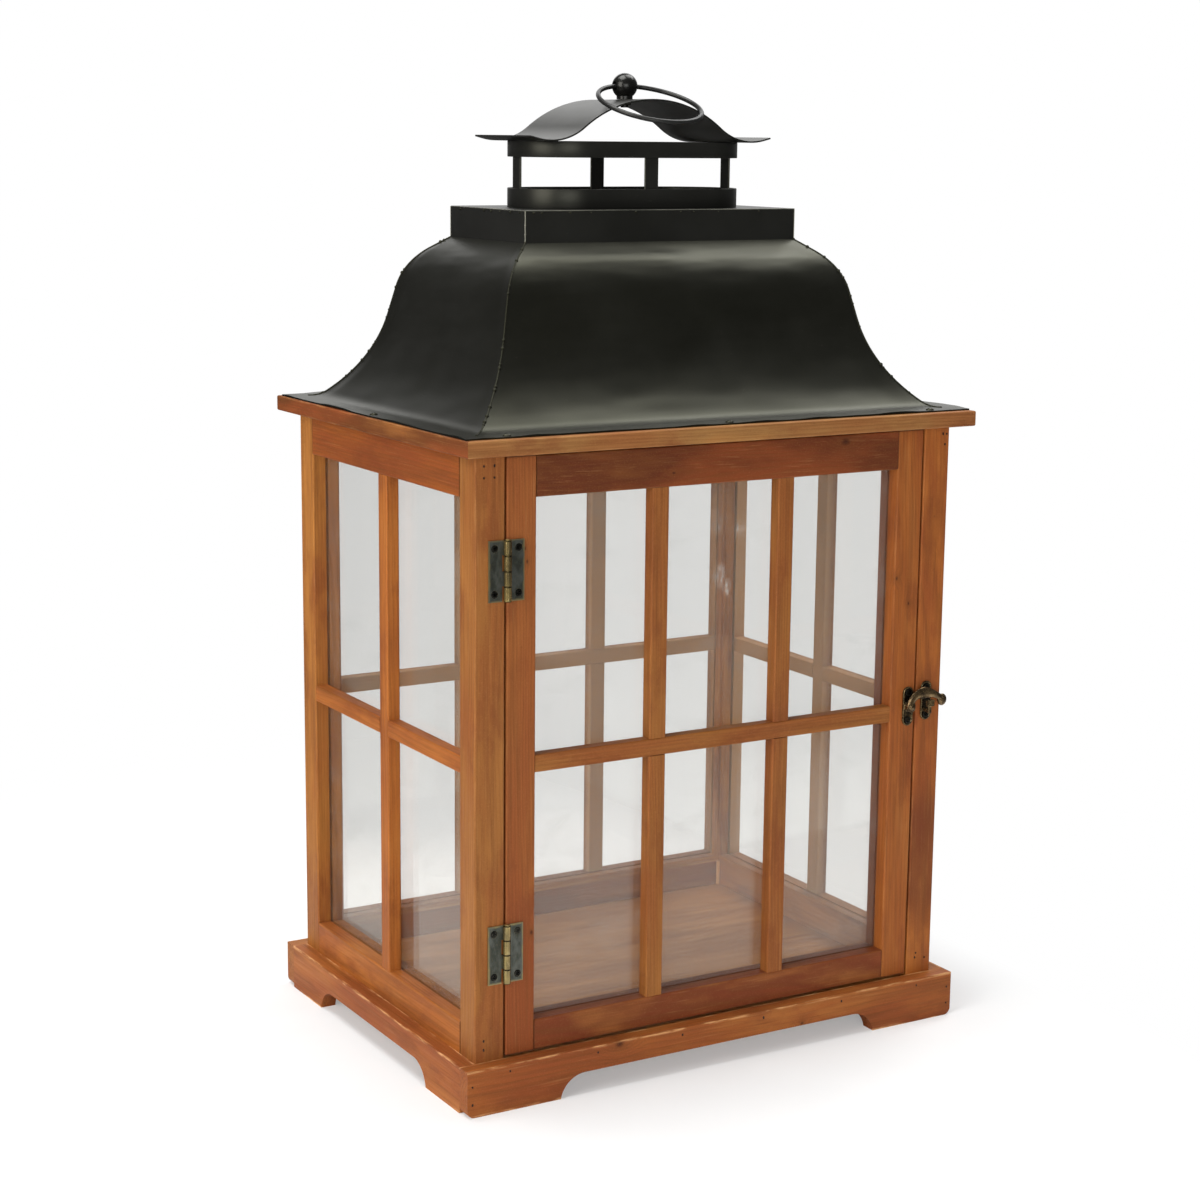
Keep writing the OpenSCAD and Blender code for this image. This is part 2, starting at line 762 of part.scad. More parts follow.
module latch_arm_outline() {
    difference() {
        union() {
            polygon(concat(
                [for (t = arm_ts) arm_axis(t) + arm_half(t) * arm_normal(t)],
                [for (i = [arm_steps:-1:0]) arm_lower_edge[i]]
            ));
            circle(eye_r);
        }
        circle(rivet_r + pin_clear);
    }
}

module latch_arm() {
    color(bronze) translate([pivot_x, -cabinet_d / 2, pivot_z]) {
        facing_plate(-arm_back, arm_t) latch_arm_outline();
        facing_plate(arm_knob_proud - arm_back, arm_t + 2 * arm_knob_proud)
            translate(arm_points[3]) circle(arm_knob_r);
    }
}

// Obround plate with two screw holes and a raised boss round the rivet
module latch_plate() {
    color(bronze) difference() {
        translate([pivot_x, -cabinet_d / 2, pivot_z]) {
            facing_plate(0, latch_plate_t) obround(latch_plate_w, latch_plate_h);
            facing_plate(-plate_face, boss_h) circle(boss_r);
        }
        at_spots(door_screw_spots) flat_screw_hole();
        translate([pivot_x, -cabinet_d / 2 + past, pivot_z]) rotate([90, 0, 0])
            cylinder(h = rivet_face + 2 * past, r = rivet_r);
    }
}

// Rivet through the plate and the arm, with a head in front
module latch_rivet() {
    color(bronze) translate([pivot_x, -cabinet_d / 2, pivot_z]) {
        facing_plate(0, rivet_face) circle(rivet_r);
        facing_plate(-rivet_face, rivet_head_h) circle(rivet_head_r);
    }
}

// Obround plate with a hook: a short arm out of the plate, an upright and a round head
module strike_plate() {
    root_z = strike_z - latch_plate_h / 2 + latch_plate_w;
    hook_top = hook_back + hook_head_t;
    color(bronze) difference() {
        translate([strike_x, -cabinet_d / 2, 0]) {
            translate([0, 0, strike_z]) facing_plate(0, latch_plate_t)
                obround(latch_plate_w, latch_plate_h);
            translate([-neck_of_hook_w / 2, -hook_top, root_z])
                cube([neck_of_hook_w, hook_top, neck_of_hook_h]);
            translate([-neck_of_hook_w / 2, -hook_top, root_z])
                cube([neck_of_hook_w, hook_head_t, hook_head_z - root_z]);
            translate([0, 0, hook_head_z]) facing_plate(-hook_back, hook_head_t)
                circle(strike_head_r);
        }
        at_spots(post_screw_spots) flat_screw_hole();
    }
}

// ---- Cornice ----

// Mitred board of the front edge, l long and y away from the middle
module cornice_board(l, y) {
    intersection() {
        translate([0, -y, cornice_z]) board_x(l, cornice_board_w, cornice_t);
        translate([0, 0, cornice_z - past]) linear_extrude(cornice_t + 2 * past) polygon([
            [-l / 2, -y], [l / 2, -y],
            [l / 2 - cornice_board_w, cornice_board_w - y], [cornice_board_w - l / 2, cornice_board_w - y],
        ]);
    }
}

module cornice_long() {
    color(cedar) difference() {
        cornice_board(2 * cornice_x, cornice_y);
        flange_screw_holes();
    }
}

module cornice_short() {
    color(cedar) difference() {
        rotate([0, 0, -90]) cornice_board(2 * cornice_y, cornice_x);
        flange_screw_holes();
    }
}

module cornice_front() { cornice_long(); }
module cornice_back() { rotate([0, 0, 180]) cornice_long(); }
module cornice_left() { cornice_short(); }
module cornice_right() { rotate([0, 0, 180]) cornice_short(); }

// ---- Roof ----

// Direction along a sheet that falls by the angle h, and the normal of its outer face
function ahead(h) = [cos(h), -sin(h)];
function outward(h) = [sin(h), cos(h)];

// Arc of a bent sheet that starts at p and turns from slope h0 to slope h1 with
// radius r on its outer face; the points lie depth below that face
bend_steps = 8;
function bend_centre(p, h0, h1, r) = p - sign(h1 - h0) * r * outward(h0);
function bend(p, h0, h1, r, depth) = [for (i = [0:bend_steps])
    let (h = h0 + (h1 - h0) * i / bend_steps)
    bend_centre(p, h0, h1, r) + (sign(h1 - h0) * r - depth) * outward(h)];
function bend_end(p, h0, h1, r) = bend_centre(p, h0, h1, r) + sign(h1 - h0) * r * outward(h1);

// What the three arcs leave of the run and of the height, for the two straight stretches
curve_run = roof_run - flange_w;
curve_h = roof_h - sheet_t;
straight_run = curve_run - shoulder_r * (sin(wall_slope) - sin(neck_slope))
    - flare_r * (sin(wall_slope) - sin(eave_slope)) - eave_r * sin(eave_slope);
straight_h = curve_h - shoulder_r * (cos(neck_slope) - cos(wall_slope))
    - flare_r * (cos(eave_slope) - cos(wall_slope)) - eave_r * (1 - cos(eave_slope));
slope_spread = sin(wall_slope - neck_slope);
neck_straight = (straight_run * sin(wall_slope) - straight_h * cos(wall_slope)) / slope_spread;
wall_straight = (straight_h * cos(neck_slope) - straight_run * sin(neck_slope)) / slope_spread;

// Corners of the outer face, as [distance from the neck, height]
roof_start = [0, neck_foot_z];
shoulder_start = roof_start + neck_straight * ahead(neck_slope);
shoulder_end = bend_end(shoulder_start, neck_slope, wall_slope, shoulder_r);
flare_start = shoulder_end + wall_straight * ahead(wall_slope);
flare_end = bend_end(flare_start, wall_slope, eave_slope, flare_r);

function roof_line(depth) = concat(
    [roof_start - depth * outward(neck_slope)],
    bend(shoulder_start, neck_slope, wall_slope, shoulder_r, depth),
    bend(flare_start, wall_slope, eave_slope, flare_r, depth),
    bend(flare_end, eave_slope, 0, eave_r, depth),
    [[roof_run, roof_z + sheet_t - depth]]
);
function reversed(list) = [for (i = [len(list) - 1:-1:0]) list[i]];

// Panel that leaves a neck face, across wide and away from the middle, as for the front:
// a bent sheet cut at 45 degrees in plan along both hips
module roof_panel(across, away) {
    l = across + 2 * roof_run;
    intersection() {
        translate([-l / 2, -away, 0]) mirror([0, 1, 0]) rotate([90, 0, 90])
            linear_extrude(l) polygon(concat(roof_line(0), reversed(roof_line(sheet_t))));
        translate([0, 0, roof_z - past]) linear_extrude(roof_h + 2 * past) polygon([
            [-across / 2, -away], [across / 2, -away],
            [l / 2 + past, -away - roof_run - past], [-l / 2 - past, -away - roof_run - past],
        ]);
    }
}

// Places along the flange: three screws on a long side and one on a short side
flange_screw_inset = 4.5;
flange_screw_margin = 29;
flange_screw_reach = rim_x - flange_screw_margin;
module at_flange_screws() {
    front_and_back() translate([0, 0, roof_z + sheet_t]) {
        for (x = [-flange_screw_reach, 0, flange_screw_reach])
            translate([x, flange_screw_inset - rim_y, 0]) children();
        translate([flange_screw_inset - rim_x, 0, 0]) children();
    }
}

module flange_screw_holes() {
    at_flange_screws() translate([0, 0, -roof_screw_l - hole_clear])
        cylinder(h = roof_screw_l + past, r = roof_screw_r + hole_clear);
}

module roof_long() {
    color(black_paint) difference() {
        roof_panel(neck_w, neck_d / 2);
        flange_screw_holes();
    }
}

module roof_short() {
    color(black_paint) difference() {
        rotate([0, 0, -90]) roof_panel(neck_d, neck_w / 2);
        flange_screw_holes();
    }
}

module roof_front() { roof_long(); }
module roof_back() { rotate([0, 0, 180]) roof_long(); }
module roof_left() { roof_short(); }
module roof_right() { rotate([0, 0, 180]) roof_short(); }

// Pan-head screw into -Z, its head resting on the origin
module pan_screw() {
    difference() {
        cylinder(h = pan_head_h, r = roof_screw_head_r);
        translate([0, 0, pan_head_h]) rotate([90, 0, 0]) cross_recess(roof_screw_head_r);
    }
    translate([0, 0, -roof_screw_l]) cylinder(h = roof_screw_l, r = roof_screw_r);
}

module roof_screws() {
    color(steel) at_flange_screws() pan_screw();
}

// Neck: a folded box, open below, whose walls reach down inside the roof
module neck_box() {
    foot = neck_foot_z - neck_skirt;
    color(black_paint) difference() {
        translate([-neck_w / 2, -neck_d / 2, foot]) cube([neck_w, neck_d, neck_top - foot]);
        translate([sheet_t - neck_w / 2, sheet_t - neck_d / 2, foot - past])
            cube([neck_w - 2 * sheet_t, neck_d - 2 * sheet_t, neck_top - foot - sheet_t + past]);
        translate([0, 0, neck_top - 2 * sheet_t]) linear_extrude(4 * sheet_t)
            cupola_plan(band_t + vent_ledge);
    }
}

// ---- Cupola ----

// Plan of the cupola, drawn in by the given distance
module cupola_plan(inset) {
    rotate(90) obround(cupola_d - 2 * inset, cupola_l - 2 * inset);
}

module cupola_ring(z, h) {
    color(black_paint) translate([0, 0, z]) linear_extrude(h) difference() {
        cupola_plan(0);
        cupola_plan(band_t);
    }
}

module cupola_lower_ring() { cupola_ring(neck_top, lower_ring_h); }
module cupola_upper_ring() { cupola_ring(upper_ring_z, upper_ring_h); }

// Flat posts inside the rings: at the ends their edges meet the curve of the ring,
// and they stop short of the top of the upper ring
strip_short = 1;
module cupola_posts() {
    inner_r = cupola_d / 2 - band_t;
    end_x = (cupola_l - cupola_d) / 2 + sqrt(pow(inner_r, 2) - pow(cupola_post_w / 2, 2)) - hole_clear;
    strip_h = cupola_top - neck_top - strip_short;
    color(black_paint) front_and_back() translate([0, 0, neck_top]) {
        translate([end_x - cupola_post_t, -cupola_post_w / 2, 0])
            cube([cupola_post_t, cupola_post_w, strip_h]);
        translate([-cupola_post_w / 2, -inner_r, 0]) cube([cupola_post_w, cupola_post_t, strip_h]);
    }
}

// ---- Cap, knob and ring ----

// The cap falls from its crest to its low line in two equal turns
cap_drop = cap_h - sheet_t;
cap_low_x = cupola_l / 2 - cap_seat_inset;
cap_turn = 2 * atan(cap_drop / cap_low_x);
crest_r = cap_low_x / sin(cap_turn) - cap_hollow_r;
cap_crest = [0, crest_z];
cap_inflection = bend_end(cap_crest, 0, cap_turn, crest_r);
cap_low = bend_end(cap_inflection, cap_turn, 0, cap_hollow_r);
lip_start = bend_end(cap_low, 0, -lip_turn, cap_hollow_r);

function cap_line(depth) = concat(
    bend(cap_crest, 0, cap_turn, crest_r, depth),
    bend(cap_inflection, cap_turn, 0, cap_hollow_r, depth),
    bend(cap_low, 0, -lip_turn, cap_hollow_r, depth),
    [lip_start + lip_l * ahead(-lip_turn) - depth * outward(-lip_turn)]
);
function mirrored(list) = [for (p = list) [-p[0], p[1]]];
cap_d = cupola_d + 2 * cap_over_y;

module cap() {
    color(black_paint) difference() {
        facing_plate(cap_d / 2, cap_d) polygon(concat(
            reversed(mirrored(cap_line(0))), cap_line(0),
            reversed(cap_line(sheet_t)), mirrored(cap_line(sheet_t))
        ));
        translate([0, 0, crest_z - 10]) cylinder(h = 20, r = stem_r + hole_clear);
    }
}

// Ball on a collar, bored for the ring, with a stem down through the cap
nut_t = 2.5;
nut_r = 4.8;
nut_top = crest_z - crest_r + sqrt(pow(crest_r - sheet_t, 2) - pow(nut_r, 2)) - 2 * hole_clear;
stem_past_nut = 1.5;
stem_end = nut_top - nut_t - stem_past_nut;

module knob() {
    color(black_paint) difference() {
        union() {
            translate([0, 0, knob_z]) sphere(knob_r);
            translate([0, 0, crest_z]) cylinder(h = knob_rise - 0.75 * knob_r, r = collar_r);
            translate([0, 0, stem_end]) cylinder(h = knob_z - stem_end, r = stem_r);
        }
        translate([-knob_r - past, 0, knob_z]) rotate([0, 90, 0])
            cylinder(h = 2 * (knob_r + past), r = ring_hole_r);
    }
}

module knob_nut() {
    color(steel) translate([0, 0, nut_top - nut_t]) difference() {
        cylinder(h = nut_t, r = nut_r, $fn = 6);
        translate([0, 0, -past]) cylinder(h = nut_t + 2 * past, r = stem_r + hole_clear);
    }
}

// Tilt at which the ring rests on the front edge of the cap: the wire crosses the
// edge at half_chord from the middle, where the crest has fallen by crest_fall
rest_gap = 0.3;
function half_chord(tilt) = sqrt(pow(ring_r, 2) - pow(cap_d / 2 / cos(tilt) - ring_r, 2));
function crest_fall(x) = crest_r - sqrt(pow(crest_r, 2) - x * x);
function resting_tilt(tilt, rounds) = rounds == 0 ? tilt : resting_tilt(
    atan((knob_rise + crest_fall(half_chord(tilt)) - rest_gap - wire_r / cos(tilt)) / (cap_d / 2)),
    rounds - 1);
ring_tilt = resting_tilt(20, 12);

module carrying_ring() {
    color(black_paint) translate([0, 0, knob_z]) rotate([ring_tilt, 0, 0]) translate([0, -ring_r, 0])
        rotate_extrude($fn = 96) translate([ring_r, 0]) circle(wire_r, $fn = 24);
}

plinth_front();
plinth_back();
plinth_left();
plinth_right();
floor_board();
post_front_left();
post_front_right();
post_back_left();
post_back_right();
left_top_rail();
left_bottom_rail();
right_top_rail();
right_bottom_rail();
back_top_rail();
back_bottom_rail();
left_bars();
right_bars();
back_bars();
left_glass();
right_glass();
back_glass();
left_beads();
right_beads();
back_beads();
door_hinge_stile();
door_latch_stile();
door_top_rail();
door_bottom_rail();
door_bars();
door_glass();
door_beads();
cornice_front();
cornice_back();
cornice_left();
cornice_right();
roof_front();
roof_back();
roof_left();
roof_right();
roof_screws();
neck_box();
cupola_lower_ring();
cupola_upper_ring();
cupola_posts();
cap();
knob();
knob_nut();
carrying_ring();
upper_hinge_post_leaf();
lower_hinge_post_leaf();
upper_hinge_door_leaf();
lower_hinge_door_leaf();
hinge_pins();
post_screws();
door_screws();
latch_plate();
latch_rivet();
latch_arm();
strike_plate();
brad_nails();
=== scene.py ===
# %% [markdown]
# A candle lantern: a glazed cedar cabinet on a plinth, under a black sheet-metal roof.
# The solids come from CAD and stay where they are. This lesson gives each of them the
# finish of the real thing, and remakes the sheet metal and the small hardware with the
# curves, welds and screws that a plain solid lacks. Blender works in metres; sizes are
# written here in millimetres. The door is at the front (-Y) and the floor at z = 0.

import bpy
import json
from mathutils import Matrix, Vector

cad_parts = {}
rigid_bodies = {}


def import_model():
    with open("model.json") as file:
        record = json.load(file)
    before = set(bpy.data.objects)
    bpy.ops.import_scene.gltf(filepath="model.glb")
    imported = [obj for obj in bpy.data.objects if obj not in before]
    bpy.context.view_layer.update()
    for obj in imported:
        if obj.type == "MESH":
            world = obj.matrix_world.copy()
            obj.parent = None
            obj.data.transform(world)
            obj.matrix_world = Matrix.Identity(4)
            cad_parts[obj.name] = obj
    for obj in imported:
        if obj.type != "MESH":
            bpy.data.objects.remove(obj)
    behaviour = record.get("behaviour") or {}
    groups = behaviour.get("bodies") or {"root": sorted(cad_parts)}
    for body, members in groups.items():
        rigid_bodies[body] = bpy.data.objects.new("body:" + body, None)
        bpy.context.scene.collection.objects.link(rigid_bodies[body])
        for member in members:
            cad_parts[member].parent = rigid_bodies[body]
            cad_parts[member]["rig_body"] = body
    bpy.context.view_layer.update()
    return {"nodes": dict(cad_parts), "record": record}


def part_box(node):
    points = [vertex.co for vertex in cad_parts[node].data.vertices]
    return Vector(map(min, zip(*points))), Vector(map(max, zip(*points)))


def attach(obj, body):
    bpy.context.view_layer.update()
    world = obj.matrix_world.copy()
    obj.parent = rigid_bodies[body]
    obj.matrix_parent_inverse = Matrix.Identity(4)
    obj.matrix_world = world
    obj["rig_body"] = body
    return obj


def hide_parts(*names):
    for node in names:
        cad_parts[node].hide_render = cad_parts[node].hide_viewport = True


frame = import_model()

import json
import math

import bmesh
import bpy
from mathutils import Matrix, Vector

MM = 0.001
nodes = frame["nodes"]
box = {name: [[c / MM for c in corner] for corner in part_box(name)] for name in nodes}
slots = {part["node"]: part["material_slot"] for part in frame["record"]["subparts"]}

# %% [markdown]
# The camera stands where the photographer's did. Its angles, distance and lens were
# solved from the straight edges of the cabinet, so the picture and the render overlay.
# A long lens keeps the uprights almost parallel.

# %% Camera
TURN, RISE, ROLL = (math.radians(a) for a in (-30.545, 11.003, 0.585))
TARGET, DISTANCE = Vector((-0.0146, 0.0, 0.2828)), 1.6045
FOCAL_PX, PICTURE_PX, SENSOR_MM = 2396.85, 1200, 36


def put(name, data):
    """A new object in the scene, at the origin."""
    made = bpy.data.objects.new(name, data)
    bpy.context.collection.objects.link(made)
    return made


back = Vector((math.sin(TURN) * math.cos(RISE), -math.cos(TURN) * math.cos(RISE), math.sin(RISE)))
right = Vector((math.cos(TURN), math.sin(TURN), 0))
up = back.cross(right)
turned = Matrix((right, up, back)).transposed() @ Matrix.Rotation(ROLL, 3, "Z")
lens = bpy.data.cameras.new("camera")
lens.sensor_width = SENSOR_MM
lens.lens = FOCAL_PX / PICTURE_PX * SENSOR_MM
camera = put("camera", lens)
camera.matrix_world = Matrix.Translation(TARGET + DISTANCE * back) @ turned.to_4x4()
bpy.context.scene.camera = camera
bpy.context.scene.view_settings.view_transform = "Standard"
print("camera at", [round(c, 3) for c in camera.location])

# %% [markdown]
# Every finish is a small graph of shader nodes. Written as nodes, a formula is long; so
# one class wraps a socket and lets Python's own arithmetic add the Math nodes. All other
# nodes come from one method that takes the node's type, its settings and its inputs.

# %% Values and nodes
class Value:
    """A socket in a graph. Arithmetic with it adds Math nodes."""

    def __init__(self, graph, socket):
        self.graph, self.socket = graph, socket

    def math(self, operation, *inputs):
        return self.graph.node("ShaderNodeMath", {"operation": operation}, dict(enumerate(inputs)))

    def __add__(self, other): return self.math("ADD", self, other)
    def __radd__(self, other): return self.math("ADD", other, self)
    def __sub__(self, other): return self.math("SUBTRACT", self, other)
    def __rsub__(self, other): return self.math("SUBTRACT", other, self)
    def __mul__(self, other): return self.math("MULTIPLY", self, other)
    def __rmul__(self, other): return self.math("MULTIPLY", other, self)
    def __truediv__(self, other): return self.math("DIVIDE", self, other)
    def __pow__(self, other): return self.math("POWER", self, other)
    def absolute(self): return self.math("ABSOLUTE", self)
    def fraction(self): return self.math("FRACT", self)

    def least(self, *others):
        found = self
        for other in others:
            found = self.math("MINIMUM", found, other)
        return found

    def step(self, low, high):
        """0 below low and 1 above high, with a soft step between, or the other way round."""
        return self.graph.node("ShaderNodeMapRange", {"interpolation_type": "SMOOTHSTEP"},
                               {0: self, 1: low, 2: high, 3: 0.0, 4: 1.0})


class Graph:
    """A tree of nodes and the one method that adds to it."""

    def __init__(self, tree):
        self.tree = tree
        self.tree.nodes.clear()

    def node(self, kind, settings=None, inputs=None, out=0):
        made = self.tree.nodes.new(kind)
        for key, setting in (settings or {}).items():
            setattr(made, key, setting)
        for key, value in (inputs or {}).items():
            for item in value if isinstance(value, list) else [value]:
                if isinstance(item, Value):
                    self.tree.links.new(item.socket, made.inputs[key])
                else:
                    made.inputs[key].default_value = item
        return Value(self, made.outputs[out]) if made.outputs else None

    def split(self, vector):
        """X, Y and Z of a vector."""
        parts = self.node("ShaderNodeSeparateXYZ", inputs={0: vector})
        return [Value(self, socket) for socket in parts.socket.node.outputs]

    def join(self, x, y, z):
        return self.node("ShaderNodeCombineXYZ", inputs={0: x, 1: y, 2: z})

    def noise(self, x, y, z, size, detail=2.0, roughness=0.5):
        """Smooth noise from 0 to 1, whose patches are about size across."""
        return self.node("ShaderNodeTexNoise", inputs={
            "Vector": self.join(x, y, z), "Scale": 1 / size, "Detail": detail, "Roughness": roughness})

    def rays(self, *kinds):
        """1 where a ray is of that kind, for each kind."""
        path = self.node("ShaderNodeLightPath").socket.node.outputs
        return [Value(self, path[f"Is {kind} Ray"]) for kind in kinds]


def tone(code):
    """A colour for a socket from its hex code as seen on a screen."""
    parts = [int(code[i:i + 2], 16) / 255 for i in (1, 3, 5)]
    return (*(c / 12.92 if c <= 0.04045 else ((c + 0.055) / 1.055) ** 2.4 for c in parts), 1.0)


class Finish(Graph):
    """A material with nothing in it yet."""

    def __init__(self, name):
        self.material = bpy.data.materials.new(name)
        self.material.use_nodes = True
        super().__init__(self.material.node_tree)

    def place(self):
        """X, Y and Z of a point of the piece, in millimetres."""
        metres = self.node("ShaderNodeTexCoord", out="Object")
        scaled = self.node("ShaderNodeVectorMath", {"operation": "SCALE"}, {0: metres, "Scale": 1 / MM})
        return self.split(scaled)

    def mix(self, amount, a, b):
        """Colour a, with b laid over it by amount."""
        return self.node("ShaderNodeMix", {"data_type": "RGBA"}, {0: amount, 6: a, 7: b}, out=2)

    def coats(self, code, *layers):
        """A hex colour with others laid over it in turn, each given as (amount, hex code)."""
        colour = tone(code)
        for amount, over in layers:
            colour = self.mix(amount, colour, tone(over))
        return colour

    def surface(self, height, height_mm, **sockets):
        """Ends the graph in a Principled shader; names are sockets with _ for a space."""
        inputs = {name.replace("_", " "): value for name, value in sockets.items()}
        inputs["Normal"] = self.node("ShaderNodeBump", inputs={
            "Strength": 1.0, "Distance": height_mm * MM, "Height": height})
        shader = self.node("ShaderNodeBsdfPrincipled", inputs=inputs)
        self.node("ShaderNodeOutputMaterial", inputs={"Surface": shader})
        return self.material


print("shader helpers ready")

# %% [markdown]
# The cabinet is knotty cedar under an orange-brown stain. A wood pattern that is painted
# on each face looks wrong at the corners, so this one is solid: rings run round a pith
# that lies off to one side of each board, and the board cuts them where it is. A face
# then shows long lines, its end shows arcs, and no two boards are alike.
# Fine streaks along the grain, pores, broad patches of stain and rubbed edges follow,
# each laid over the last as a thin coat.

# %% Wood
STAIN, LATE, RED, AMBER, RUBBED = "#a2632c", "#70401d", "#8a4522", "#b9793c", "#bd8a54"
# The last of these is a pale tone: stain worn through, and also painted light inside the cabinet.
END, KNOT, POOL, WORN_AND_LIT = "#5a331a", "#36190d", "#74381c", "#e0ab74"
KEPT_WEAR, BARE_WEAR, GRAIN_RELIEF = 0.3, 0.5, 0.12


def wood(name, lo, hi, seed, grain=None, stain=STAIN, red=RED, pitch=2.3, lean=0.012, patchy=0.5, lines=0.3,
         wear=0.22, gloss=0.16, figure=1.0, knots=(), low_stain=None, painted_fill=None, switch=None):
    """Stained cedar for a board from lo to hi. Grain is the axis that it runs along, the
    longest one unless given. Pitch is the width of a ring and lean its slant. Figure is
    the strength of flames and pools. Knots are (place along the grain, other axis, place
    on it, radius). Low_stain is (colour, height where it starts, height where it is full,
    height where it ends, strength). The painted fill is (axis, outside, inside): painted
    light that makes the board paler towards the inside of the cabinet. Switch is (axis,
    low, high, other grain): between low and high on that axis the board is another piece,
    with its own grain."""
    if grain is None:
        grain = max(range(3), key=lambda a: hi[a] - lo[a])
    f = Finish(name)
    xyz = f.place()
    middle = [(a + b) / 2 for a, b in zip(lo, hi)]
    along = xyz[grain] - middle[grain]
    cross = {a: xyz[a] - middle[a] for a in range(3) if a != grain}
    if switch:
        axis, low, high, other = switch
        between = xyz[axis].math("COMPARE", xyz[axis], (low + high) / 2, (high - low) / 2 + 0.02)
        turned = cross[other]
        along, cross[other] = along + (turned - along) * between, turned + (along - turned) * between
    across, through = cross.values()
    across = across + along * lean
    through = through + along * lean * 0.6
    far, angle = seed * 37.7, seed * 2.4
    pith = (math.cos(angle) * 46 + 8, math.sin(angle) * 38 - 34)

    def drawn(stretch, shift, size, detail=3.0, roughness=0.6):
        """Noise drawn out along the grain."""
        return f.noise(along / stretch + far * shift, across, through, size, detail, roughness)

    ring = (((across - pith[0]) ** 2 + (through - pith[1]) ** 2) ** 0.5
            + drawn(8, 1, 28, 2.0, 0.5) * 12 + drawn(14, 1, 5, 2.0, 0.5) * 1.1)
    core = halo = 0
    for at, other, height, radius in knots:
        spread = ((xyz[grain] - at) ** 2 * 0.4 + (xyz[other] - height) ** 2) ** 0.5
        ring = ring + spread.step(radius * 5, 0) * radius * 2.4
        core = core + spread.step(radius, 0)
        halo = halo + spread.step(radius * 3.2, 0)
    turn = (ring / pitch).fraction()
    late_wood = turn.step(0.25, 0.92) * turn.step(1.0, 0.94)
    patch, flame, pool = drawn(4, 3, 26, 3.0, 0.55), drawn(22, 4, 5.5), drawn(2.2, 5, 24, 4.0)
    streak, fibre = drawn(45, 1, 1.2), drawn(30, 2, 0.36, 2.0)
    layers = [(patch.step(0.4, 0.66) * patchy, red)]
    if low_stain:
        deep, starts, full, ends, strength = low_stain
        layers.append((xyz[2].step(starts, full) * xyz[2].step(ends - 25, ends + 10) * strength, deep))
    layers += [(patch.step(0.46, 0.28) * 0.4 * figure, AMBER),
               (pool.step(0.5, 0.68) * 0.5 * figure, POOL),
               (flame.step(0.5, 0.7) * 0.4 * figure, LATE),
               (late_wood * (patch.step(0.25, 0.6) * 0.6 + 0.4) * lines, LATE),
               (streak.step(0.5, 0.72) * 0.42, LATE),
               (streak.step(0.42, 0.22) * 0.25, RUBBED),
               (fibre.step(0.6, 0.8) * 0.32, END)]
    if knots:
        layers += [(halo * 0.45, LATE), (core * 0.85, KNOT)]
    if not switch:
        facing = f.split(f.node("ShaderNodeTexCoord", out="Normal"))
        end = (facing[grain] * facing[grain]).step(0.5, 0.8)
        layers.append((end * (0.08 + f.noise(*xyz, 0.7).step(0.5, 0.7) * 0.4), END))
        if wear < KEPT_WEAR:
            to_end = (hi[grain] - lo[grain]) / 2 - along.absolute()
            layers.append((to_end.step(1.1, 0.2) * 0.65, END))
        rim = sum((xyz[a] - lo[a]).least(hi[a] - xyz[a]) for a in cross)
        scuff = rim.step(1.2 + wear, 0.25) * drawn(8, 1, 2.2).step(0.46, 0.66) * wear
        layers.append((scuff, WORN_AND_LIT if wear > BARE_WEAR else RUBBED))
    grime = f.noise(xyz[0] + far, xyz[1], xyz[2], 3.4, 4.0, 0.7)
    mottle = f.noise(xyz[0], xyz[1] + far, xyz[2], 0.9, 3.0, 0.7)
    layers += [(grime.step(0.64, 0.78) * 0.5, END),
               (mottle.step(0.52, 0.74) * 0.22, LATE),
               (mottle.step(0.48, 0.26) * 0.16, RUBBED)]
    # Painted light: the board turns paler towards the inside of the cabinet, standing in for light that
    # reaches in there.
    if painted_fill:
        axis, outside, inside = painted_fill
        layers.append((xyz[axis].step(outside, inside) * 0.7, WORN_AND_LIT))
    return f.surface(late_wood * 0.35 + streak * 0.8 + fibre * 0.6, GRAIN_RELIEF,
                     Base_Color=f.coats(stain, *layers), Roughness=0.42 + streak * 0.24,
                     Specular_IOR_Level=gloss)


print("wood: grain", GRAIN_RELIEF, "mm deep")

# %% [markdown]
# Each board gets its own finish, because on the real lantern each was cut from another
# plank: the door rails are redder, the right post is dull and purple low down, the
# cornice is light. The table names what sets a board apart.
# Bars and beads of one window are one CAD node with pieces both ways, so a band of that
# node has its grain turned.

# %% Boards
WARM, DULL, LIGHT, DEEP, PURPLE = "#ab642a", "#98622f", "#9a7040", "#7a3d1e", "#5f2c1b"
BAR_HALF_W, BAR_HALF_H = 6, 5.5


def mid(name, axis):
    """The middle of a node's box on an axis."""
    low, high = box[name]
    return (low[axis] + high[axis]) / 2


bar_z = mid("door_glass", 2) + 0.25
knot_z = mid("door_top_rail", 2) + 8
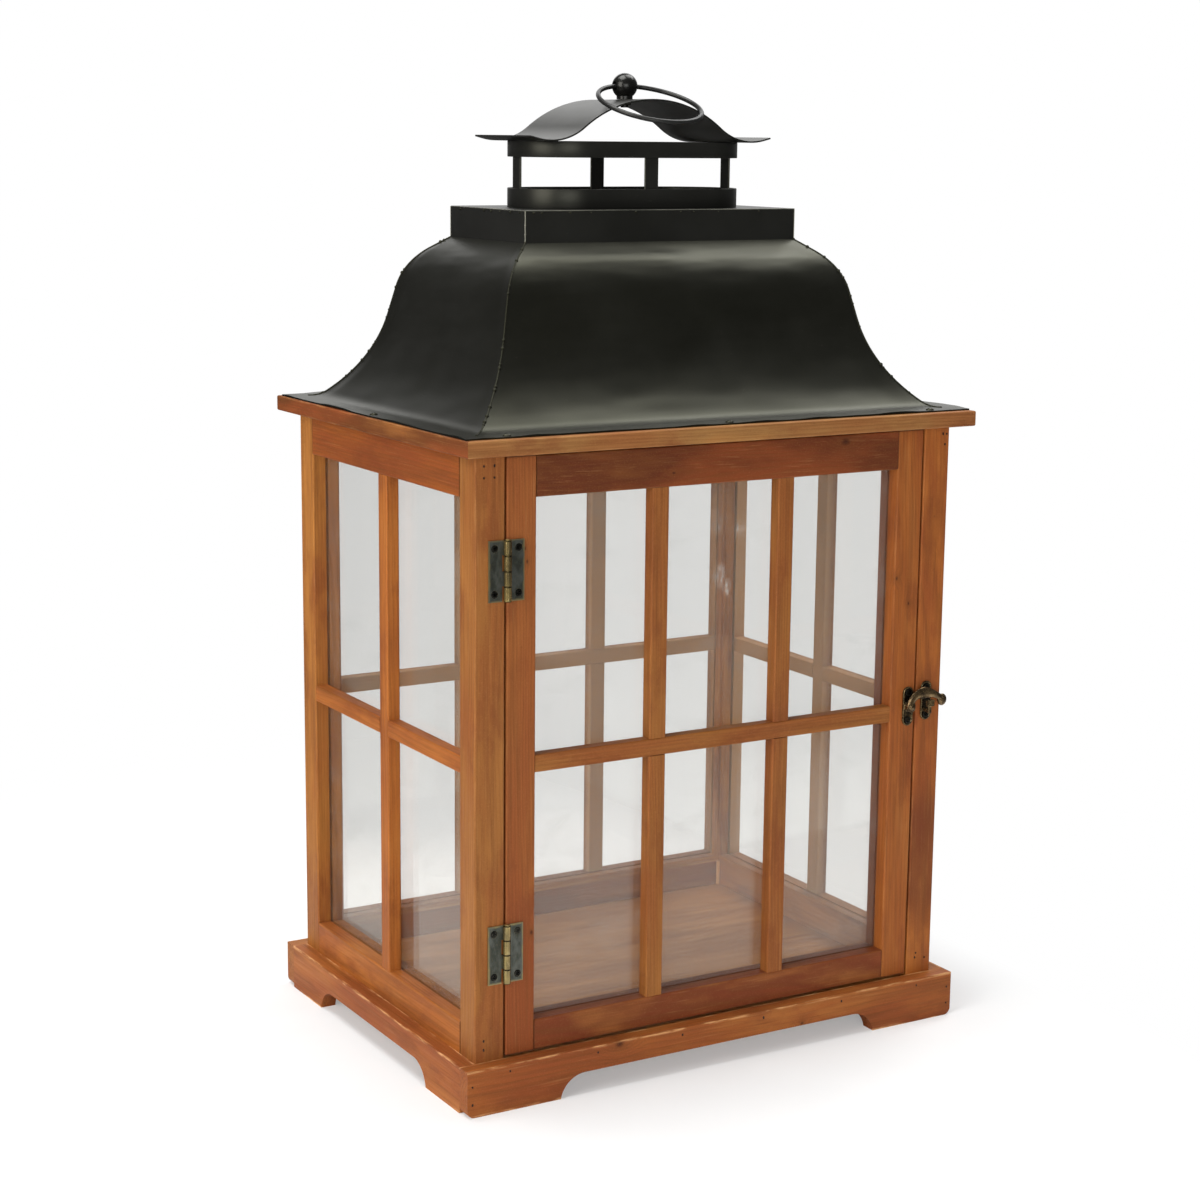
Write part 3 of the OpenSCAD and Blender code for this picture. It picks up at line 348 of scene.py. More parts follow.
# Each switch is (axis, low, high, other grain), as wood takes it.
level_bar, upright_bar = (2, bar_z - BAR_HALF_H, bar_z + BAR_HALF_H, 0), (1, -BAR_HALF_W, BAR_HALF_W, 2)
side_beads = (2, box["left_bottom_rail"][1][2], box["left_top_rail"][0][2], 2)
# The back and right boards that have a painted fill are painted paler towards the inside: painted light for
# the inside of the cabinet.
boards = {
    "plinth_front": dict(stain="#9c5827", lean=0.01, wear=0.8, patchy=0.8,
                         knots=((-78, 2, 28, 2.8), (62, 2, 16, 1.3))),
    "plinth_back": dict(lean=0.01, wear=0.8),
    "plinth_left": dict(stain="#a05b29", wear=0.8, patchy=0.8),
    "plinth_right": dict(wear=0.8),
    "floor_board": dict(stain="#c8874a", red="#a96a38", patchy=0.6, pitch=6, lines=0.12, gloss=0.05,
                        figure=0.4),
    "post_front_left": dict(stain=DULL),
    "post_front_right": dict(stain=WARM, low_stain=(PURPLE, 175, 138, 82, 0.68), patchy=0.8),
    "post_back_left": dict(stain="#aa6e31"),
    "post_back_right": dict(stain=AMBER, painted_fill=(1, 127, 110)),
    "left_top_rail": dict(stain="#97501f", patchy=0.9),
    "left_bottom_rail": dict(stain=WARM),
    "right_top_rail": dict(stain=AMBER),
    "right_bottom_rail": dict(stain=AMBER),
    "back_top_rail": dict(stain=WARM),
    "back_bottom_rail": dict(stain="#95552a"),
    "door_hinge_stile": dict(stain="#96582a", low_stain=(RED, 210, 80, -90, 0.85),
                             knots=((347.3, 0, -141.6, 1.2), (339.3, 0, -140.0, 1.2), (108, 0, -136, 1.7))),
    "door_latch_stile": dict(stain="#9e5926", patchy=0.7, knots=((305.6, 0, 135.6, 1.3), (288, 0, 146, 1.2))),
    "door_top_rail": dict(stain="#5c2c16", lean=0.05, patchy=0.8, figure=0.4,
                          knots=((91.3, 2, knot_z, 3.4), (-38, 2, knot_z - 12, 1.3))),
    "door_bottom_rail": dict(stain="#72361c", lean=0.03, patchy=0.8),
    "cornice_front": dict(stain=LIGHT, wear=0.35),
    "cornice_back": dict(stain=LIGHT, wear=0.35),
    "cornice_left": dict(stain="#623519", patchy=0.9, wear=0.35),
    "cornice_right": dict(stain=LIGHT, wear=0.35),
    "door_bars": dict(stain="#97602d", grain=2, knots=((61, 0, -55.2, 1.3),), switch=level_bar),
    "back_bars": dict(stain=AMBER, grain=2, switch=level_bar,
                      painted_fill=(1, box["back_bars"][1][1], box["back_bars"][0][1])),
    "left_bars": dict(stain=WARM, grain=1, switch=upright_bar),
    "right_bars": dict(stain=AMBER, grain=1, switch=upright_bar,
                       painted_fill=(0, box["right_bars"][1][0], box["right_bars"][0][0])),
    "door_beads": dict(stain=DEEP, grain=0, switch=side_beads),
    "back_beads": dict(stain=AMBER, grain=0, switch=side_beads),
    "left_beads": dict(stain=AMBER, grain=1, switch=side_beads),
    "right_beads": dict(stain=AMBER, grain=1, switch=side_beads),
}


def finish_node(name, material):
    """Gives a CAD node a material in all of its slots."""
    mesh = nodes[name].data
    if not mesh.materials:
        mesh.materials.append(material)
    for i in range(len(mesh.materials)):
        mesh.materials[i] = material


for seed, (name, own) in enumerate(boards.items(), 1):
    finish_node(name, wood("cedar_" + name, *box[name], seed, **own))
print("boards finished:", len(boards))

# %% [markdown]
# Window glass is clear, a little grey, and smeared where it was wiped. A pane is mixed
# from three shaders: one lets light straight through, one mirrors the room more the
# flatter it is seen, and a faint film scatters light where fingers touched it.

# %% Glass
MIRROR_AHEAD, MIRROR_FLAT, GLASS_ROUGH = 0.04, 0.9, 0.03


def glass(name, seed, veil, marks=()):
    """A pane with an even veil and wiped marks, given as (x, height, radius)."""
    f = Finish(name)
    x, y, z = f.place()
    smear = f.noise(x / 2 + seed * 31, y / 2, z, 24, 4.0, 0.6).step(0.5, 0.85)
    spots = f.noise(x + seed * 31, y, z, 7, 3.0, 0.7).step(0.68, 0.8)
    film = veil + smear * 0.05 + spots * 0.06
    wiped = f.noise(x, y, z / 2.5, 4, 3.0, 0.7).step(0.44, 0.7)
    for at, level, radius in marks:
        film = film + (((x - at) ** 2 + ((z - level) / 1.6) ** 2) ** 0.5).step(radius, 0) * wiped * 0.4
    clear = f.node("ShaderNodeBsdfTransparent", inputs={0: (0.948, 0.95, 0.947, 1)})
    haze = f.node("ShaderNodeBsdfDiffuse", inputs={0: (0.84, 0.8, 0.73, 1)})
    mirror = f.node("ShaderNodeBsdfAnisotropic", inputs={0: (0.92, 0.89, 0.82, 1), 1: GLASS_ROUGH})
    body = f.node("ShaderNodeMixShader", inputs={0: film, 1: clear, 2: haze})
    flat = f.node("ShaderNodeLayerWeight", inputs={0: 0.5}, out="Facing")
    mirrored = MIRROR_AHEAD + MIRROR_FLAT * flat ** 5
    pane = f.node("ShaderNodeMixShader", inputs={0: mirrored, 1: body, 2: mirror})
    f.node("ShaderNodeOutputMaterial", inputs={"Surface": pane})
    return f.material


# The veil of each pane and its wiped marks.
panes = {"door_glass": (0.05, ((1, 351, 6), (18, 346, 5), (4, 317, 7), (9, 309, 5))),
         "left_glass": (0.03, ()), "right_glass": (0.02, ()), "back_glass": (0.02, ())}
for seed, (name, (veil, marks)) in enumerate(panes.items(), 1):
    finish_node(name, glass("clear_" + name, seed, veil, marks))
print("panes finished:", len(panes))

# %% [markdown]
# The metals. The roof is sprayed satin black, a little olive where it catches light,
# with dust and a fine grain of paint. The hinges are antique bronze, rubbed bright along
# their edges, and their knuckles and pins are brass. Each finish varies its gloss and
# has its own small relief, so that no surface is one flat colour.

# %% Paint and aged metal
# The first colour is the dark of joints, and also painted shade in hollows.
GAP_AND_SHADE, DUST, BARE, FINE_RELIEF = "#15130f", "#3c3c36", "#5c5b53", 0.03


def painted(name, base="#0f0f0e", light="#181817", rough=0.33, seed=0.0, dust=0.25, tint=0.64):
    """Sprayed paint, cloudy between base and light. Tint is the blue of its gloss."""
    f = Finish(name)
    x, y, z = f.place()
    cloud = f.noise(x + seed, y, z, 45, 3.0, 0.6)
    speck = f.noise(x, y + seed, z, 0.9)
    scuff = f.noise(x / 4 + seed, y / 4, z, 1.6, 4.0, 0.7).step(0.66, 0.76) * cloud.step(0.42, 0.6)
    colour = f.coats(base, (cloud.step(0.3, 0.75) * 0.6, light), (speck.step(0.6, 0.8) * dust * 0.5, DUST),
                     (scuff * dust, BARE))
    return f.surface(speck * 0.6 + cloud * 0.4, FINE_RELIEF, Base_Color=colour,
                     Roughness=rough + cloud * 0.1 + scuff * 0.12, Specular_IOR_Level=0.35,
                     Specular_Tint=(1.0, 1.0, tint, 1))


def aged_metal(name, base, rubbed, dark, rough=0.36, worn=0.3, metallic=0.85, rise=1.0,
               around=None, recess=None, joints=None):
    """Plated metal gone dark, with rubbed marks that rise stretches along Z. Around is a box
    whose upright and level edges are rubbed bright. Recess is (y of the face, depth below
    which it is dark, depth above which it is not, height below which it is less dark): near
    the face the plate is darkened with grime and painted shade. Joints is (first z, spacing)."""
    f = Finish(name)
    x, y, z = f.place()
    patch = f.noise(x, y, z / rise, 5, 3.0, 0.6)
    fine = f.noise(x, y, z / rise, 0.7, 3.0, 0.6)
    layers = [(patch.step(0.35, 0.7), base), (fine.step(0.52, 0.75) * worn, rubbed)]
    if around:
        (x0, _, z0), (x1, _, z1) = around
        rim = (x - x0).least(x1 - x, z - z0, z1 - z)
        layers.append(((rim + patch * 3.0).step(3.1, 0.9) * 0.7, rubbed))
    # Painted shade, with grime: the sunk parts near the face go dark, less so below the split height.
    if recess:
        face, low, high, split = recess
        shade = 0.55 + z.step(split - 2, split + 2) * 0.33
        layers.append(((face - y + fine * 0.2).step(high, low) * shade, GAP_AND_SHADE))
    if joints:
        first, spacing = joints
        turn = ((z - first) / spacing).fraction()
        layers.append(((turn - 0.5).absolute().step(0.43, 0.475), GAP_AND_SHADE))
    return f.surface(patch * 0.6 + fine * 0.4, FINE_RELIEF, Base_Color=f.coats(dark, *layers),
                     Metallic=metallic, Roughness=rough + fine * 0.2)


print("paint and metal helpers ready")

# %% [markdown]
# One finish for each metal of the lantern. The colours of an aged metal are its base, its
# rubbed spots and its dark ones. A CAD node takes the finish of its slot in the record.

# %% Metals
roof_paint = painted("roof_black")
neck_paint = painted("neck_black", "#161615", "#20201f", rough=0.34, seed=9, tint=0.82)
knob_paint = painted("knob_black", "#0e0e0d", "#1a1a18", rough=0.2, seed=4, dust=0.15, tint=0.95)
ring_paint = painted("ring_black", "#181818", "#2b2b2a", rough=0.3, seed=6, dust=0.2, tint=0.95)
weld_paint = painted("weld_black", "#0c0c0b", "#24241f", rough=0.55, seed=2, dust=0.9)
leaf_metal = aged_metal("leaf_bronze", "#5f625c", "#ada074", "#44473f", worn=0.12, rise=2)
edge_metal = aged_metal("leaf_edge_brass", "#c0ac72", "#e0cf98", "#8a7a4e", worn=0.6)
pin_metal = aged_metal("pin_brass", "#c4ad6c", "#e2cf96", "#7a6a44", rough=0.2, worn=0.5)
latch_metal = aged_metal("latch_bronze", "#8a7250", "#ecd4a0", "#4a3c2b", rough=0.15, worn=0.28)
screw_metal = aged_metal("screw_dark", "#37362f", "#a39d84", "#141412", rough=0.2)
roof_screw_metal = painted("roof_screw_black", "#151513", "#3a3932", rough=0.35, seed=3)
brad_metal = aged_metal("brad_dark", "#3f2b1e", "#6a5544", "#1a110c", rough=0.55, metallic=0.5)
by_slot = {"roof_metal": roof_paint, "ring_metal": ring_paint, "leaf_bronze": leaf_metal,
           "pin_brass": pin_metal, "latch_bronze": latch_metal, "screw_steel": screw_metal,
           "roof_screw_steel": roof_screw_metal, "brad_steel": brad_metal}
for name, slot in slots.items():
    if slot in by_slot:
        finish_node(name, by_slot[slot])
print("metal finishes:", len(by_slot))

# %% [markdown]
# What repeats or follows a path is made by a recipe in Geometry Nodes: a tree with named
# inputs, built here in code. A worker object carries it as a modifier, and what it makes
# is kept as a plain mesh.

# %% Recipes for Geometry Nodes
def bake(worker):
    """The plain mesh that an object's modifiers make. The object goes."""
    seen = worker.evaluated_get(bpy.context.evaluated_depsgraph_get())
    made = bpy.data.meshes.new_from_object(seen)
    bpy.data.objects.remove(worker)
    return made


class Recipe(Graph):
    """A Geometry Nodes tree with named inputs, which ends in real, painted geometry."""

    def __init__(self, name, **inputs):
        super().__init__(bpy.data.node_groups.new(name, "GeometryNodeTree"))
        socket = self.tree.interface.new_socket
        for key, kind in {"Geometry": "Geometry", **inputs, "Material": "Material"}.items():
            socket(key, in_out="INPUT", socket_type="NodeSocket" + kind)
        socket("Geometry", in_out="OUTPUT", socket_type="NodeSocketGeometry")
        self.given = self.tree.nodes.new("NodeGroupInput").outputs

    def __getitem__(self, name):
        return Value(self, self.given[name])

    def random(self, low, high, offset=0):
        """A different number for each point, from the input named Seed."""
        return self.node("FunctionNodeRandomValue", {"data_type": "FLOAT"},
                         {2: low, 3: high, "Seed": self["Seed"] + offset}, out=1)

    def end(self, geometry, smooth=True):
        if smooth:
            geometry = self.node("GeometryNodeSetShadeSmooth", inputs={0: geometry})
        real = self.node("GeometryNodeRealizeInstances", inputs={0: geometry})
        done = self.node("GeometryNodeSetMaterial", inputs={0: real, "Material": self["Material"]})
        self.node("NodeGroupOutput", inputs={0: done})
        print("recipe:", self.tree.name, "with", len(self.tree.nodes), "nodes")

    def cook(self, source, **values):
        """The plain mesh that the recipe makes from a source mesh."""
        worker = put("worker", source)
        modifier = worker.modifiers.new("recipe", "NODES")
        modifier.node_group = self.tree
        for item in self.tree.interface.items_tree:
            if item.in_out == "INPUT" and item.name in values:
                modifier[item.identifier] = values[item.name]
        return bake(worker)


def points_mesh(points, linked=False):
    """Points, given in millimetres, and if linked an edge from each to the next."""
    made = bpy.data.meshes.new("points")
    edges = [(i, i + 1) for i in range(len(points) - 1)] if linked else []
    made.from_pydata([[c * MM for c in p] for p in points], edges, [])
    return made


def piece(name, mesh, body, slot, *replaced):
    """A finished mesh as a piece that rides on a body and stands for CAD nodes."""
    made = put(name, mesh)
    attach(made, body)
    if replaced:
        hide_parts(*replaced)
    return made


print("recipe helpers ready")

# %% [markdown]
# The roof is four panels of sheet steel, each bent over a shoulder and a flare, cut at
# 45 degrees along the hips and welded there. A panel follows a rule: one profile, swept
# sideways, and wider the further down it is. A grid is laid out along the profile, and a
# little noise gives it the dents of thin sheet. With no mitre the same recipe makes the
# saddle-shaped cap.

# %% Bent sheet
sheet = Recipe("bent_sheet", Across="Float", Away="Float", Mitre="Float", Columns="Int", Rows="Int",
               Dents="Float", Lift="Float", Seed="Float")
grid = sheet.node("GeometryNodeMeshGrid", inputs={
    "Size X": 1.0, "Size Y": 1.0, "Vertices X": sheet["Columns"], "Vertices Y": sheet["Rows"]})
u, v, _ = sheet.split(sheet.node("GeometryNodeInputPosition"))
down, from_side = 0.5 - v, 0.5 - u.absolute()
profile = sheet.node("GeometryNodeMeshToCurve", inputs={0: sheet["Geometry"]})
sample = sheet.node("GeometryNodeSampleCurve", {"mode": "FACTOR", "use_all_curves": True},
                    {"Curves": profile, "Factor": down}, out="Position")
out_by, _, height = sheet.split(sample)
inside = from_side.step(0.0, 0.07) * down.step(0.0, 0.1)
flange = down.step(0.955, 1.0) * from_side.step(0.0, 0.05)
side = u * (sheet["Across"] + 2 * out_by * sheet["Mitre"])
dents = sheet.noise(side * 0.5 + sheet["Seed"], out_by, height, 0.06) - 0.5
ripples = sheet.noise(side * 0.6 + sheet["Seed"], out_by * 3, height * 3, 0.03) - 0.5
lift = sheet.noise(side + sheet["Seed"] * 2, 0, 0, 0.045, 1.0).step(0.4, 0.7) * flange * sheet["Lift"]
push = (dents + ripples * 0.2 * down.step(0.7, 0.45)) * inside * down.step(0.93, 0.8) * sheet["Dents"]
kept = sheet.node("GeometryNodeStoreNamedAttribute", {"data_type": "FLOAT"},
                  {"Geometry": grid, "Name": "push", "Value": push})
moved = sheet.node("GeometryNodeSetPosition", inputs={
    0: kept, "Position": sheet.join(side, -1 * (sheet["Away"] + out_by), height + lift)})
push = sheet.node("GeometryNodeInputNamedAttribute", {"data_type": "FLOAT"}, {"Name": "push"})
offset = sheet.node("ShaderNodeVectorMath", {"operation": "SCALE"},
                    {0: sheet.node("GeometryNodeInputNormal"), "Scale": push})
pushed = sheet.node("GeometryNodeSetPosition", inputs={0: moved, "Offset": offset})
sheet.end(sheet.node("GeometryNodeRemoveAttribute", inputs={"Geometry": pushed, "Name": "push"}))

# %% [markdown]
# The profile is straight where it leaves the neck, turns over the shoulder to a steep
# wall, hollows out to the flare and bends into the flat flange, which is screwed to the
# cornice. Two straight stretches take up what the three arcs leave of width and height.

# %% Profile of the roof
NECK_SLOPE, WALL_SLOPE, EAVE_SLOPE = 36, 77, 42
SHOULDER_R, FLARE_R, EAVE_R, FLANGE = 43, 101, 14, 13
SHEET = 1.0


def sine(degrees): return math.sin(math.radians(degrees))
def cosine(degrees): return math.cos(math.radians(degrees))


def go_on(line, slope, length):
    """A straight stretch that falls by slope, in degrees."""
    line.append((line[-1][0] + length * cosine(slope), line[-1][1] - length * sine(slope)))


def bend(line, start, end, radius, steps=24):
    """An arc that turns from one slope to another."""
    way = radius if end > start else -radius
    x, z = line[-1][0] - way * sine(start), line[-1][1] - way * cosine(start)
    for i in range(1, steps + 1):
        slope = start + (end - start) * i / steps
        line.append((x + way * sine(slope), z + way * cosine(slope)))


neck_half_x, neck_half_y = box["neck_box"][1][:2]
rim_x, rim_y, cornice_top = box["roof_right"][1][0], box["roof_back"][1][1], box["roof_front"][0][2]
roof_run, roof_h = rim_x - neck_half_x, box["roof_front"][1][2] - cornice_top
run = (roof_run - FLANGE - SHOULDER_R * (sine(WALL_SLOPE) - sine(NECK_SLOPE))
       - FLARE_R * (sine(WALL_SLOPE) - sine(EAVE_SLOPE)) - EAVE_R * sine(EAVE_SLOPE))
fall = (roof_h - SHEET - SHOULDER_R * (cosine(NECK_SLOPE) - cosine(WALL_SLOPE))
        - FLARE_R * (cosine(EAVE_SLOPE) - cosine(WALL_SLOPE)) - EAVE_R * (1 - cosine(EAVE_SLOPE)))
spread = sine(WALL_SLOPE - NECK_SLOPE)
roof_line = [(0.0, cornice_top + roof_h)]
go_on(roof_line, NECK_SLOPE, (run * sine(WALL_SLOPE) - fall * cosine(WALL_SLOPE)) / spread)
bend(roof_line, NECK_SLOPE, WALL_SLOPE, SHOULDER_R)
go_on(roof_line, WALL_SLOPE, (fall * cosine(NECK_SLOPE) - run * sine(NECK_SLOPE)) / spread)
bend(roof_line, WALL_SLOPE, EAVE_SLOPE, FLARE_R)
bend(roof_line, EAVE_SLOPE, 0, EAVE_R)
go_on(roof_line, 0, FLANGE)
print("roof profile ends at", [round(c, 2) for c in roof_line[-1]], "and the rim is at", roof_run,
      cornice_top + SHEET)

# %% [markdown]
# The recipe makes each panel, wide or narrow, and a turn about Z puts it on its side of
# the roof. Solidify gives the sheet its thickness. It is baked at once, so that the cut
# edges round the rim can be marked sharp and the dented face stays smooth.

# %% Roof panels
DENTS, LIFT, RIM_ANGLE = 4.2, 0.9, 35


def thick(mesh):
    """A sheet with its thickness, inwards, and sharp edges round its rim."""
    worker = put("worker", mesh)
    wall = worker.modifiers.new("thickness", "SOLIDIFY")
    wall.thickness, wall.offset = SHEET * MM, -1
    made = bake(worker)
    made.set_sharp_from_angle(angle=math.radians(RIM_ANGLE))
    return made


profile_mesh = points_mesh([(x, 0, z) for x, z in roof_line], linked=True)
panels = {"front": (2 * neck_half_x, neck_half_y, 0), "left": (2 * neck_half_y, neck_half_x, -90),
          "back": (2 * neck_half_x, neck_half_y, 180), "right": (2 * neck_half_y, neck_half_x, 90)}
for seed, (side_name, (across, away, angle)) in enumerate(panels.items(), 1):
    panel = sheet.cook(profile_mesh, Across=across * MM, Away=away * MM, Mitre=1.0, Columns=72, Rows=96,
                       Dents=DENTS * MM, Lift=LIFT * MM, Seed=seed * 3.1, Material=roof_paint)
    panel.transform(Matrix.Rotation(math.radians(angle), 4, "Z"))
    piece("sheet_" + side_name, thick(panel), "cabinet", "roof_metal", "roof_" + side_name)
print("roof panels:", len(panels), "of", len(panel.polygons), "faces")

# %% [markdown]
# Along each hip the two panels are joined by a thin, uneven weld. The weld is a tube
# along the hip whose thickness wanders, with small beads of metal on it, all made by one
# recipe. The neck's top edge has small spots of weld as well.

# %% Welds
HIP_R, CORNER_R, SPOT_R, WELD_STEP = 0.6, 0.28, 0.75, 2.6
HIP_SINK, CORNER_SINK, CORNER_FOOT, CORNER_TOP, SPOT_DROP = 0.15, 0.1, 3.5, 0.3, 1.6
weld = Recipe("weld_seam", Radius="Float", Spacing="Float", Seed="Int")
line = weld.node("GeometryNodeResampleCurve", {"mode": "LENGTH"}, {
    "Curve": weld.node("GeometryNodeMeshToCurve", inputs={0: weld["Geometry"]}), "Length": weld["Spacing"]})
uneven = weld.node("GeometryNodeSetCurveRadius", inputs={0: line, "Radius": weld.random(0.1, 1.0)})
circle = weld.node("GeometryNodeCurvePrimitiveCircle", {"mode": "RADIUS"},
                   {"Resolution": 8, "Radius": weld["Radius"]})
tube = weld.node("GeometryNodeCurveToMesh", inputs={0: uneven, 1: circle, "Fill Caps": True})


def drop(recipe):
    """A small round bead of metal."""
    return recipe.node("GeometryNodeMeshUVSphere", inputs={
        "Segments": 8, "Rings": 6, "Radius": recipe["Radius"]})


chance = weld.random(0, 1, 5)
drops = weld.node("GeometryNodeInstanceOnPoints", inputs={
    "Points": line, "Selection": chance.math("GREATER_THAN", chance, 0.66), "Instance": drop(weld),
    "Scale": weld.random(0.9, 2.3, 9)})
weld.end(weld.node("GeometryNodeJoinGeometry", inputs={0: [tube, drops]}))
spots = Recipe("weld_spots", Radius="Float", Seed="Int")
uneven = spots.join(spots.random(0.6, 1.5), spots.random(0.5, 1.2, 3), spots.random(0.5, 1.3, 7))
spots.end(spots.node("GeometryNodeInstanceOnPoints", inputs={
    "Points": spots["Geometry"], "Instance": drop(spots), "Scale": uneven}))

# %% [markdown]
# A hip weld follows the roof's own profile, sunk a little into the seam. The neck's
# corners have a thin bright seam, and the spots stand where the photo shows them on its
# front and left. The other two sides, which it doesn't show, have the same set turned.

# %% Welds along the hips and the neck
bare_paint = painted("bare_seam", "#6d6c64", "#b4b2a4", rough=0.28, seed=11, dust=0.6)
neck_low, neck_top = box["neck_box"][0][2], box["neck_box"][1][2]


def weld_along(name, points, radius, seed, paint):
    seam = weld.cook(points_mesh(points, linked=True), Radius=radius * MM, Spacing=WELD_STEP * MM, Seed=seed,
                     Material=paint)
    piece(name, seam, "cabinet", "roof_metal")


for seed, (sx, sy) in enumerate(((-1, -1), (1, -1), (1, 1), (-1, 1)), 1):
    hip = [(sx * (neck_half_x + x - HIP_SINK), sy * (neck_half_y + x - HIP_SINK), z)
           for x, z in roof_line[:-1]]
    weld_along(f"hip_weld_{seed}", hip, HIP_R, seed, weld_paint)
    corner = [(sx * (neck_half_x - CORNER_SINK), sy * (neck_half_y - CORNER_SINK), z)
              for z in (neck_low + CORNER_FOOT, neck_top - CORNER_TOP)]
    weld_along(f"neck_weld_{seed}", corner, CORNER_R, seed + 20, bare_paint)
front_spots = (-94.5, -88.6, -68.5, -53.6, -21, 12.6, 22.3, 40.9, 72)
side_spots = (36, 3.4, -6, -18.2, -31.7, -43.8)
spot_z = neck_top - SPOT_DROP
around = [(way * x, way * -neck_half_y, spot_z) for x in front_spots for way in (1, -1)]
around += [(way * -neck_half_x, way * y, spot_z) for y in side_spots for way in (1, -1)]
spot_mesh = spots.cook(points_mesh(around), Radius=SPOT_R * MM, Seed=3, Material=weld_paint)
piece("neck_weld_spots", spot_mesh, "cabinet", "roof_metal")
print("welds: 4 hips, 4 neck corners,", len(around), "spots")

# %% [markdown]
# Folded and cast pieces need soft edges, which catch a line of light and lose their
# paint first. Their CAD meshes are loose triangles; a copy is joined up, its flat faces
# are made whole, and a bevel rounds its edges. The bevel may have a finish of its own.

# %% Soft edges on copies of CAD pieces
SAME_POINT, FLAT_ENOUGH, BEVEL_ANGLE = 2e-6, 0.01, 40


def to_mesh(skin, name, sharp=None):
    """Ends a bmesh as a mesh, with smooth faces between its edges sharper than sharp."""
    mesh = bpy.data.meshes.new(name)
    skin.to_mesh(mesh)
    skin.free()
    if sharp:
        mesh.shade_smooth()
        mesh.set_sharp_from_angle(angle=math.radians(sharp))
    return mesh


def joined(name):
    """A copy of a CAD node's mesh with its triangles joined into faces."""
    solid = bmesh.new()
    source = nodes[name].data
    corners = [solid.verts.new(v.co) for v in source.vertices]
    for face in source.polygons:
        solid.faces.new([corners[i] for i in face.vertices])
    bmesh.ops.remove_doubles(solid, verts=solid.verts, dist=SAME_POINT)
    bmesh.ops.dissolve_limit(solid, angle_limit=FLAT_ENOUGH, verts=solid.verts, edges=solid.edges)
    return to_mesh(solid, name, 30)


def dress(name, material, soft, edge=None, zone=None, zone_material=None):
    """Replaces a CAD node by a copy with soft edges. Zone says which faces, by their
    middles in millimetres, have the zone material."""
    mesh = joined(name)
    mesh.materials.append(material)
    mesh.materials.append(edge or material)
    if zone:
        mesh.materials.append(zone_material)
        for face in mesh.polygons:
            if zone(face.center / MM):
                face.material_index = 2
    made = piece("dressed_" + name, mesh, nodes[name]["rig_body"], slots[name], name)
    bevel = made.modifiers.new("soft edges", "BEVEL")
    bevel.width, bevel.segments, bevel.limit_method = soft * MM, 2, "ANGLE"
    bevel.angle_limit, bevel.material, bevel.harden_normals = math.radians(BEVEL_ANGLE), 1, True


worn_paint = painted("worn_edge", "#3c3c38", "#77766c", rough=0.35, seed=5, dust=0.8)
dress("neck_box", neck_paint, 0.45, worn_paint)
dress("knob", knob_paint, 0.3)
dress("carrying_ring", ring_paint, 0.05)
dress("cupola_posts", neck_paint, 0.3, worn_paint)
dress("knob_nut", screw_metal, 0.3)
print("soft edges: 5 pieces")

# %% [markdown]
# The cupola's rings are strips of steel bent into a long oval and welded. Each is an oval
# outline with a small rounded section, so that its ends turn smoothly.

# %% Oval shapes
def walls(skin, loops):
    """Faces between each loop of points and the next."""
    for a, b in zip(loops, loops[1:]):
        for i in range(len(a)):
            j = (i + 1) % len(a)
            skin.faces.new((a[i], a[j], b[j], b[i]))


def bar(skin, loops):
    """Walls between loops, and a face on each end."""
    walls(skin, loops)
    skin.faces.new(loops[-1])
    skin.faces.new(list(reversed(loops[0])))


def oval(half_l, half_w, steps=32):
    """Points and outward directions of an outline with two round ends, along X."""
    straight = half_l - half_w
    return [(way * straight + half_w * math.cos(a), half_w * math.sin(a), math.cos(a), math.sin(a))
            for way, start in ((1, -90), (-1, 90)) for i in range(steps + 1)
            for a in [math.radians(start + 180 * i / steps)]]


def oval_loft(half_l, half_w, section, closed):
    """A skin over an oval, from a section of (inset, height) points, in millimetres."""
    skin = bmesh.new()
    loops = [[skin.verts.new(((x - nx * inset) * MM, (y - ny * inset) * MM, height * MM))
              for x, y, nx, ny in oval(half_l, half_w)] for inset, height in section]
    if closed:
        walls(skin, loops + loops[:1])
    else:
        bar(skin, loops)
    bmesh.ops.recalc_face_normals(skin, faces=skin.faces)
    return to_mesh(skin, "oval", 50)


def strip_section(low, high, wall, soft=0.3):
    """A flat strip on edge, from its outer lower corner round, with rounded corners."""
    cut = soft * 0.3
    return [(0, low + soft), (0, high - soft), (cut, high - cut), (soft, high), (wall - soft, high),
            (wall - cut, high - cut), (wall, high - soft), (wall, low + soft), (wall - cut, low + cut),
            (wall - soft, low), (soft, low), (cut, low + cut)]


RING_WALL = 1.2
for name in ("cupola_lower_ring", "cupola_upper_ring"):
    low, high = box[name]
    ring = oval_loft(high[0], high[1], strip_section(low[2], high[2], RING_WALL), True)
    ring.materials.append(neck_paint)
    piece("dressed_" + name, ring, "cabinet", "roof_metal", name)
print("cupola rings: 2")

# %% [markdown]
# The cap is one strip, bent to a crest and two hollows whose lips turn up. It uses the
# sheet recipe with a profile that runs from lip to lip and no mitre.

